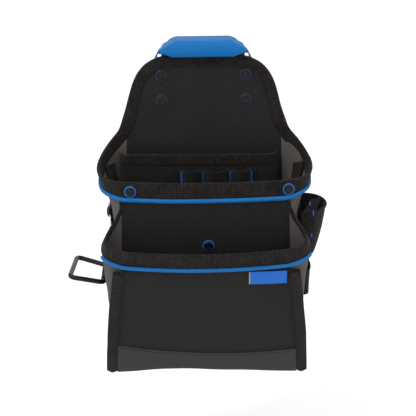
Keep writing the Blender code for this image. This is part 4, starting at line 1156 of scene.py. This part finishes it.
def make_rivets():
    for row, z in CLIP_RIVET_Z:
        for side, sign in (("left", -1.0), ("right", 1.0)):
            name = "clip_rivet_%s_%s" % (row, side)
            make_rivet(name, Vector((sign * CLIP_RIVET_X, -0.2, z)), FRONT, LOOKS["dim_washer"])
            burr = turned(name + "_burr", BURR_PROFILE, Vector((sign * CLIP_RIVET_X, 8.5, z)), -FRONT,
                          LOOKS["cap"])
            settle(burr, "black_rivet")
    for side, x in RIM_RIVET_X:
        q = 1.5 + 0.5 * x / 86.0
        point, down, outward = wall_frame(upper_wall, q, edge_height(q, UPPER_EDGE_Z, UPPER_RIM_SAG))
        seat = point + down * 8.6 + outward * (FABRIC + 1.15)
        make_rivet("rim_rivet_" + side, seat, outward, LOOKS["washer"])
    point, down, outward = wall_frame(upper_wall, 1.515, 152.0)
    make_rivet("centre_rivet", point + outward * (FABRIC + 0.1), outward, LOOKS["washer"])
    y, z = STRAP_RIVET
    seat = Vector((soft_along(LOOP_STRAP_X, z, 5.0) - 1.4, y, z))
    make_rivet("strap_rivet", seat, Vector((-1.0, 0.0, 0.0)), LOOKS["dim_washer"])


# --------------------------------------------------------------------------------- the clip

def mirrored_x(points):
    return points + [(-x, z) for x, z in reversed(points)]


def prism_bmesh(outline, low, high, axis):
    bm = bmesh.new()

    def place(a, b, depth):
        return Vector((depth, a, b)) if axis == "x" else Vector((a, depth, b))

    near = [bm.verts.new(place(a, b, low)) for a, b in outline]
    far = [bm.verts.new(place(a, b, high)) for a, b in outline]
    bm.faces.new(near)
    bm.faces.new(list(reversed(far)))
    for i in range(len(outline)):
        j = (i + 1) % len(outline)
        bm.faces.new([near[i], far[i], far[j], near[j]])
    return bm


def bake_modifiers(obj):
    """Replaces the mesh by its modified shape and clears the modifiers."""
    bpy.context.view_layer.update()
    evaluated = obj.evaluated_get(bpy.context.evaluated_depsgraph_get())
    mesh = bpy.data.meshes.new_from_object(evaluated)
    obj.modifiers.clear()
    obj.data = mesh


def finish_moulding(obj, cutters, bevel_width):
    """Cuts the moulding with (cutter, operation) pairs, rounds its edges and drops the cutters."""
    for cutter, operation in cutters:
        modifier = obj.modifiers.new(cutter.name, "BOOLEAN")
        modifier.operation = operation
        modifier.solver = "EXACT"
        modifier.object = cutter
    bevel = obj.modifiers.new("edge", "BEVEL")
    bevel.width = bevel_width * MM
    bevel.segments = 3
    bevel.limit_method = "ANGLE"
    bevel.angle_limit = math.radians(35.0)
    bake_modifiers(obj)
    for cutter, _ in cutters:
        bpy.data.objects.remove(cutter, do_unlink=True)
    obj.data.shade_smooth()
    obj.data.set_sharp_from_angle(angle=math.radians(35.0))


def rounded(points, radius, steps=4):
    """A closed outline with its corners rounded, each by at most 40 percent of its sides."""
    made = []
    total = len(points)
    for i in range(total):
        here = Vector((*points[i], 0.0))
        before = Vector((*points[i - 1], 0.0)) - here
        after = Vector((*points[(i + 1) % total], 0.0)) - here
        size = min(radius, before.length * 0.4, after.length * 0.4)
        start, end = here + before.normalized() * size, here + after.normalized() * size
        for k in range(steps + 1):
            t = k / steps
            point = start * (1 - t) ** 2 + here * 2 * t * (1 - t) + end * t * t
            made.append((point.x, point.y))
    return made


def make_clip():
    section = [(-8.5, 337.5), (-9.3, 342.5), (-7.5, 350.5), (-4.5, 354.0), (18.2, 354.0), (18.2, 346.0),
               (8.6, 346.0), (8.6, 277.0), (5.6, 277.0), (5.6, 342.0), (-4.9, 342.0), (-4.9, 337.5)]
    base = from_bmesh("clip_moulding", prism_bmesh(rounded(section, 1.6), -56.0, 56.0, "x"), LOOKS["plastic"])
    outline = rounded(mirrored_x([(26.0, 355.0), (44.5, 345.0), (51.0, 332.0), (53.0, 320.0), (53.0, 283.0),
                                  (47.0, 276.0)]), 5.0)
    cutters = [(from_bmesh("cutter_outline", prism_bmesh(outline, -20.0, 30.0, "y"), LOOKS["plastic"]),
                "INTERSECT")]
    for sign in (-1.0, 1.0):
        corner = [(sign * x, z) for x, z in ((30.0, 337.4), (30.0, 330.0), (60.0, 330.0), (60.0, 345.2),
                                               (44.6, 345.2), (44.0, 343.0))]
        cutters.append((from_bmesh("cutter_trim", prism_bmesh(corner, -20.0, 5.5, "y"), LOOKS["plastic"]),
                        "DIFFERENCE"))
        window = [(sign * x, z) for x, z in ((43.0, 338.5), (46.5, 338.5), (47.5, 333.5), (43.0, 333.5))]
        cutters.append((from_bmesh("cutter_window", prism_bmesh(window, -1.0, 12.0, "y"), LOOKS["plastic"]),
                        "DIFFERENCE"))
    finish_moulding(base, cutters, 0.7)
    settle(base, "blue_plastic", "belt_clip_base")

    front = 18.6
    tip = [(front, 354.0), (front, 274.0), (front - 2.6, 269.0), (front - 1.6, 265.0), (front + 1.4, 262.0),
           (front + 3.8, 262.6), (front + 3.0, 270.0), (front + 3.0, 352.0), (front + 1.4, 354.0)]
    tongue = from_bmesh("clip_tongue_moulding", prism_bmesh(rounded(tip, 1.2), -45.0, 45.0, "x"),
                        LOOKS["plastic"])
    outline = mirrored_x([(26.0, 355.0), (38.0, 349.0), (38.0, 330.0), (32.0, 290.0), (24.0, 270.0),
                          (14.0, 261.0)])
    keep = from_bmesh("cutter_tongue", prism_bmesh(rounded(outline, 6.0), 10.0, 40.0, "y"), LOOKS["plastic"])
    finish_moulding(tongue, [(keep, "INTERSECT")], 0.6)
    settle(tongue, "blue_plastic", "belt_clip_tongue", body="tongue")


# ------------------------------------------------------------------------------ hammer loop

def rod_path():
    inner, outer, corner = (-50.0, 2.0), (-57.0, 7.0), 7.0
    corners = [(0.0, inner[0]), (LOOP_REACH, outer[0]), (LOOP_REACH - 4.0, outer[1]), (0.0, inner[1])]
    path = []
    for i, centre in enumerate(corners):
        here = Vector((*centre, 0.0))
        before = Vector((*corners[i - 1], 0.0)) - here
        after = Vector((*corners[(i + 1) % 4], 0.0)) - here
        start, end = here + before.normalized() * corner, here + after.normalized() * corner
        for k in range(10):
            t = k / 9.0
            path.append(start * (1 - t) ** 2 + here * 2 * t * (1 - t) + end * t * t)
    dense = []
    total = len(path)
    for i in range(total):
        first, second = path[i], path[(i + 1) % total]
        parts = max(int((second - first).length / 3.0), 1)
        for k in range(parts):
            dense.append(first.lerp(second, k / parts))
    points = []
    for p in dense:
        points.append(Vector((LOOP_AXIS[0] - p.x * math.cos(LOOP_RISE), p.y,
                              LOOP_AXIS[1] + p.x * math.sin(LOOP_RISE))))
    return points


def make_hammer_loop():
    rod = tube("hammer_loop_rod", rod_path(), ROD_RADIUS, LOOKS["rod"], 22, cyclic=True)
    settle(rod, "black_rod", "hammer_loop", body="loop")
    bore = ROD_RADIUS + 0.25
    wall = 1.5
    path = []
    for k in range(41):
        z = LOOP_STRAP_TOP_Z + (LOOP_AXIS[1] + 9.0 - LOOP_STRAP_TOP_Z) * k / 40.0
        path.append(Vector((soft_along(LOOP_STRAP_X, z, 5.0), 0.0, z)))
    for k in range(15):
        angle = math.radians(60.0 + 285.0 * k / 14.0)
        path.append(Vector((LOOP_AXIS[0] + (bore + wall / 2.0) * math.cos(angle), 0.0,
                            LOOP_AXIS[1] + (bore + wall / 2.0) * math.sin(angle))))
    line = []
    for first, second in zip(path, path[1:]):
        parts = max(int((second - first).length / 1.5), 1)
        line += [first.lerp(second, k / parts) for k in range(parts)]
    line.append(path[-1])
    low, high = LOOP_STRAP_Y

    def strap(u, v):
        place = v * (len(line) - 1)
        k = min(int(place), len(line) - 2)
        point = line[k].lerp(line[k + 1], place - k)
        free = smoothstep(0.0, 20.0, point.z - LOOP_AXIS[1] - 8.0)
        ripple = 0.25 * wobble(0.0, u * 30.0, point.z, 14.0, 7.0) * free
        return Vector((point.x + ripple, high + (low - high) * u, point.z))

    webbing = slab("hammer_strap_webbing", lattice(strap, 24, len(line) * 2), wall, LOOKS["webbing"],
                   turn=True)
    settle(webbing, "black_tape", "hammer_loop_strap")
    for label, z in (("top", LOOP_STRAP_TOP_Z - 3.0), ("middle", 166.0), ("low", LOOP_AXIS[1] + 12.0)):
        side = soft_along(LOOP_STRAP_X, z, 5.0) - wall + 0.1
        seats = [(Vector((side, high - 2.0 + (low - high + 4.0) * k / 12.0, z)), Vector((-1.0, 0.0, 0.0)))
                 for k in range(13)]
        settle(stitches("hammer_strap_seam_" + label, seats, LOOKS["blue_thread"]), "blue_trim")


# ----------------------------------------------------------------------------- side sleeves

def side_backing_x(z):
    return soft_along(SLEEVE_PATCH_X, z, 6.0)


def sleeve_surface(heights, bulges, back, front, seed):
    def face(u, v):
        angle = math.pi * u
        z = heights[0] + (heights[1] - heights[0]) * v + 4.0 * v * math.cos(angle)
        bulge = bulges[0] + (bulges[1] - bulges[0]) * v ** 0.62
        half = (back - front) / 2.0 * (0.70 + 0.30 * v)
        soft = 0.6 * wobble(0.0, u * 40.0, z, 17.0, seed) * math.sin(angle)
        x = side_backing_x(z) + SLEEVE_PATCH + 0.5 + (bulge + soft) * max(math.sin(angle), 0.0) ** 0.8
        return Vector((x, (back + front) / 2.0 + half * math.cos(angle), z))
    return face


def hem_of(name, face, v, radius, look, columns=60):
    edge = []
    for k in range(columns + 1):
        edge.append(face(k / columns, v))
    return tube(name, edge, radius, look, 10)


def make_side_sleeves():
    def patch(u, v):
        front, back = SLEEVE_PATCH_Y
        z = SLEEVE_PATCH_Z[0] + (SLEEVE_PATCH_Z[1] - SLEEVE_PATCH_Z[0]) * v
        return Vector((side_backing_x(z) + 0.2 * wobble(0.0, u * 40.0, z, 18.0, 2.0),
                       back + (front - back) * u, z))

    backing = slab("side_backing_webbing", lattice(patch, 30, 70), -SLEEVE_PATCH, LOOKS["webbing"], turn=True)
    settle(backing, "black_tape", "side_backing_right")
    upper = sleeve_surface((131.0, 187.0), (9.0, 26.5), -9.0, -49.0, 4.0)
    piece = slab("side_sleeve_upper_cloth", lattice(upper, 60, 50), 1.4, LOOKS["weave"])
    settle(piece, "black_weave", "side_sleeve_upper")
    settle(hem_of("side_sleeve_upper_hem", upper, 0.992, 1.15, LOOKS["tape"]), "black_tape")
    lower = sleeve_surface((88.0, 119.0), (6.5, 8.0), -14.0, -42.0, 8.0)
    piece = slab("side_sleeve_lower_webbing", lattice(lower, 50, 30), 1.2, LOOKS["webbing"])
    settle(piece, "black_tape", "side_sleeve_lower")
    settle(hem_of("side_sleeve_lower_hem", lower, 0.99, 0.95, LOOKS["tape"]), "black_tape")

    def allowance(u, v):
        low = 99.0 + 8.0 * smoothstep(0.72, 1.0, v)
        high = 106.0 + 5.0 * min(v / 0.5, 1.0) + 6.0 * smoothstep(0.7, 1.0, v)
        x = low + (high - low) * u
        z = 131.0 + (67.0 + 2.0 * u) * v
        curl = 0.8 * math.sin(math.pi * u) + 0.5 * wobble(x, 0.0, z, 13.0, 3.0)
        return Vector((x, -52.4 - curl, z))

    strap = slab("side_sleeve_front_webbing", lattice(allowance, 12, 50), 1.1, LOOKS["webbing"], turn=True)
    settle(strap, "black_tape")
    fold = [allowance(0.02, k / 40.0) + Vector((0.0, -0.7, 0.0)) for k in range(41)]
    settle(tube("side_sleeve_front_fold", fold, 0.8, LOOKS["tape"], 8), "black_tape")
    tacks = ((0.10, 0.93, 4.0), (0.88, 0.77, 5.5), (0.86, 0.42, 4.0), (0.86, 0.10, 4.5))
    for number, (u, v, drop) in enumerate(tacks, start=1):
        def place(share, u=u, v=v, drop=drop):
            return allowance(u, v) + Vector((0.0, -1.5, drop / 2.0 - drop * share))
        bartack("side_sleeve_tack_%d" % number, place, 14, 0.55, 0.42)
    for number, v in enumerate((0.76, 0.87), start=1):
        ridge = [allowance(0.2 + 0.6 * k / 10.0, v + 0.02 * k / 10.0) + Vector((0.0, -1.2, 0.0))
                 for k in range(11)]
        settle(tube("side_sleeve_slot_%d" % number, ridge, 0.75, LOOKS["slot"], 8), "black_tape")
    for label, y in (("front", -50.2), ("rear", -10.0)):
        seats = []
        for k in range(19):
            z = 133.0 + 52.0 * k / 18.0
            seats.append((Vector((side_backing_x(z) + SLEEVE_PATCH + 0.1, y + 4.5, z)),
                          Vector((1.0, 0.0, 0.0))))
        settle(stitches("side_sleeve_seam_" + label, seats, LOOKS["blue_thread"], 2.6, 3.4, 0.5), "blue_trim")


# ------------------------------------------------------------------------- label and patches

def make_trim():
    def label(u, v):
        x = 43.0 + 38.5 * u
        z = 118.5 + 15.0 * v
        across = x / along(FIN_X, z)
        lift = 0.6 * math.sin(math.pi * u) * (1.0 - v)
        y = lower_front_y(z) + lower_bow(z) * across ** 2 - FABRIC - 0.5 - lift
        return Vector((x, y, z + 0.35 * wobble(x, 0.0, 0.0, 12.0, 3.0) * (1.0 - v)))

    flag = slab("flag_label_cloth", lattice(label, 40, 18), 0.7, LOOKS["label"])
    settle(flag, "blue_label", "flag_label")
    edge = [label(0.012, k / 12.0) + Vector((0.0, -0.5, 0.0)) for k in range(13)]
    settle(tube("flag_label_edge", edge, 0.55, LOOKS["label_edge"], 8), "blue_label")
    for side, sign in (("left", -1.0), ("right", 1.0)):
        def patch(u, v, sign=sign):
            t = 0.22 + 0.20 * u
            z = 201.0 + 26.0 * v + (5.0 * (u - 0.5) if sign > 0.0 else 0.0)
            point = upper_gusset_point(t, z)
            return Vector((sign * (point.x - 2.6), point.y, z))
        piece = slab("gusset_patch_cloth_" + side, lattice(patch, 14, 18), sign * 0.9, LOOKS["webbing"])
        settle(piece, "black_tape", "gusset_patch_" + side)


def make_gusset_tack():
    """Small bartack inside the right gusset, under the slope tape."""
    thread = []
    for k in range(19):
        z = 213.0 - 8.0 * k / 18.0
        point = upper_gusset_point(0.80, z)
        thread.append(Vector((point.x - 1.3, point.y + (1.1 if k % 2 else -1.1), z)))
    settle(tube("gusset_tack_right", thread, 0.5, LOOKS["blue_thread"], 6), "blue_trim")


# ------------------------------------------------------------------------ sheet sizes

# Cut sizes in millimetres and areas in square centimetres (None for a rectangle)
PANELS = [
    ("back_panel_cloth", 197, 334, 580, "stretched", "back_stiffener"),
    ("back_lining_cloth", 197, 334, 580, "stretched", "back_stiffener"),
    ("upper_gusset_%s_cloth", 95, 263, 129, "stretched", "back_panel_cloth"),
    ("lower_gusset_%s_cloth", 78, 200, 66, "stretched", "upper_front_cloth"),
    ("upper_front_cloth", 180, 222, 392, "stretched", "upper_gusset_left_cloth"),
    ("lower_front_cloth", 212, 168, 320, "stretched", "lower_gusset_left_cloth"),
    ("toe_guard_sheet", 191, 40, 57, "stretched", "lower_front_cloth"),
    ("base_sheet", 193, 36, None, "stretched", "back_panel_cloth"),
    ("inner_pocket_cloth", 178, 115, None, "stretched", "back_panel_cloth"),
    ("tool_loop_webbing", 115, 46, None, "gathered", "inner_pocket_cloth"),
    ("hammer_strap_webbing", 34, 95, None, "folded", "upper_gusset_left_cloth"),
    ("side_backing_webbing", 40, 105, None, "stretched", "upper_gusset_right_cloth"),
    ("side_sleeve_upper_cloth", 75, 60, 34, "stretched", "side_backing_webbing"),
    ("side_sleeve_lower_webbing", 37, 31, None, "stretched", "side_backing_webbing"),
    ("side_sleeve_front_webbing", 12, 69, None, "folded", "side_backing_webbing"),
    ("flag_label_cloth", 39, 15, None, "hung", "lower_front_cloth"),
    ("gusset_patch_cloth_%s", 16, 26, None, "laid", "upper_gusset_%s_cloth"),
    ("upper_rim_tape", 32, 272, None, "folded", "upper_front_cloth"),
    ("lower_rim_tape", 32, 232, None, "folded", "lower_front_cloth"),
    ("inner_pocket_tape", 25, 166, None, "folded", "inner_pocket_cloth"),
    ("arch_tape", 25, 360, None, "folded", "back_panel_cloth"),
    ("lower_slope_tape_%s", 25, 45, None, "folded", "lower_gusset_%s_cloth"),
    ("back_side_tape_%s", 20, 253, None, "folded", "back_panel_cloth"),
    ("front_side_tape_%s", 20, 140, None, "folded", "lower_front_cloth"),
]


def declare_sheets():
    for name, width, length, area, held, support in PANELS:
        for side in ("left", "right") if "%s" in name else ("",):
            piece = bpy.data.objects[name.replace("%s", side)]
            support.replace("%s", side)


# ------------------------------------------------------------------------- stage and camera

def make_stage():
    ground = FLOOR_Z * MM - FLOOR_DROP
    mesh = bpy.data.meshes.new("studio_floor")
    deep, wide, high, curve = 2.2, 6.0, 4.0, 1.2
    profile = [(-3.5, 0.0), (deep - curve, 0.0)]
    for k in range(1, 13):
        angle = math.pi / 2.0 * k / 12.0
        profile.append((deep - curve + curve * math.sin(angle), curve - curve * math.cos(angle)))
    profile.append((deep, high))
    vertices = [(x, y, ground + z) for y, z in profile for x in (-wide, wide)]
    faces = [[2 * k, 2 * k + 1, 2 * k + 3, 2 * k + 2] for k in range(len(profile) - 1)]
    mesh.from_pydata(vertices, [], faces)
    mesh.shade_smooth()
    paper = Look("studio_paper", (0.93, 0.93, 0.93), 0.9)
    shade = paper.ramp(paper.noise(3.0, 3.0, 0.5), [(0.3, (0.92, 0.92, 0.92)), (0.7, (0.94, 0.94, 0.94))])
    mesh.materials.append(paper.finish(shade))
    floor = bpy.data.objects.new("studio_floor", mesh)
    bpy.context.collection.objects.link(floor)

    world = bpy.data.worlds.new("studio")
    bpy.context.scene.world = world
    world.use_nodes = True
    background = world.node_tree.nodes["Background"]
    background.inputs["Color"].default_value = (1.0, 1.0, 1.0, 1.0)
    background.inputs["Strength"].default_value = 0.80
    for name, place, size, power in LAMPS:
        lamp = bpy.data.lights.new(name, "AREA")
        lamp.energy = power
        lamp.size = size
        obj = bpy.data.objects.new(name, lamp)
        obj.location = place
        aim = Vector(LAMP_AIM) - Vector(place)
        obj.rotation_euler = aim.to_track_quat("-Z", "Y").to_euler()
        bpy.context.collection.objects.link(obj)


def make_camera():
    azimuth, elevation, roll = (math.radians(angle) for angle in CAMERA_ANGLES)
    target = Vector(CAMERA_TARGET)
    away = Vector((math.sin(azimuth) * math.cos(elevation), -math.cos(azimuth) * math.cos(elevation),
                   math.sin(elevation)))
    data = bpy.data.cameras.new("photo_camera")
    data.lens = CAMERA_LENS
    data.sensor_width = 36.0
    data.shift_x = CAMERA_SHIFT
    camera = bpy.data.objects.new("photo_camera", data)
    camera.location = target + away * CAMERA_DISTANCE
    turn = (-away).to_track_quat("-Z", "Y").to_matrix() @ Matrix.Rotation(roll, 3, "Z")
    camera.rotation_euler = turn.to_euler()
    bpy.context.collection.objects.link(camera)
    bpy.context.scene.camera = camera


make_back()
make_gussets()
make_fronts()
make_base()
make_rims()
make_arch()
make_side_tapes()
make_inner_pocket()
make_rivets()
make_clip()
make_hammer_loop()
make_side_sleeves()
make_trim()
make_gusset_tack()
declare_sheets()
make_stage()
make_camera()
bpy.context.scene.view_settings.view_transform = "Standard"
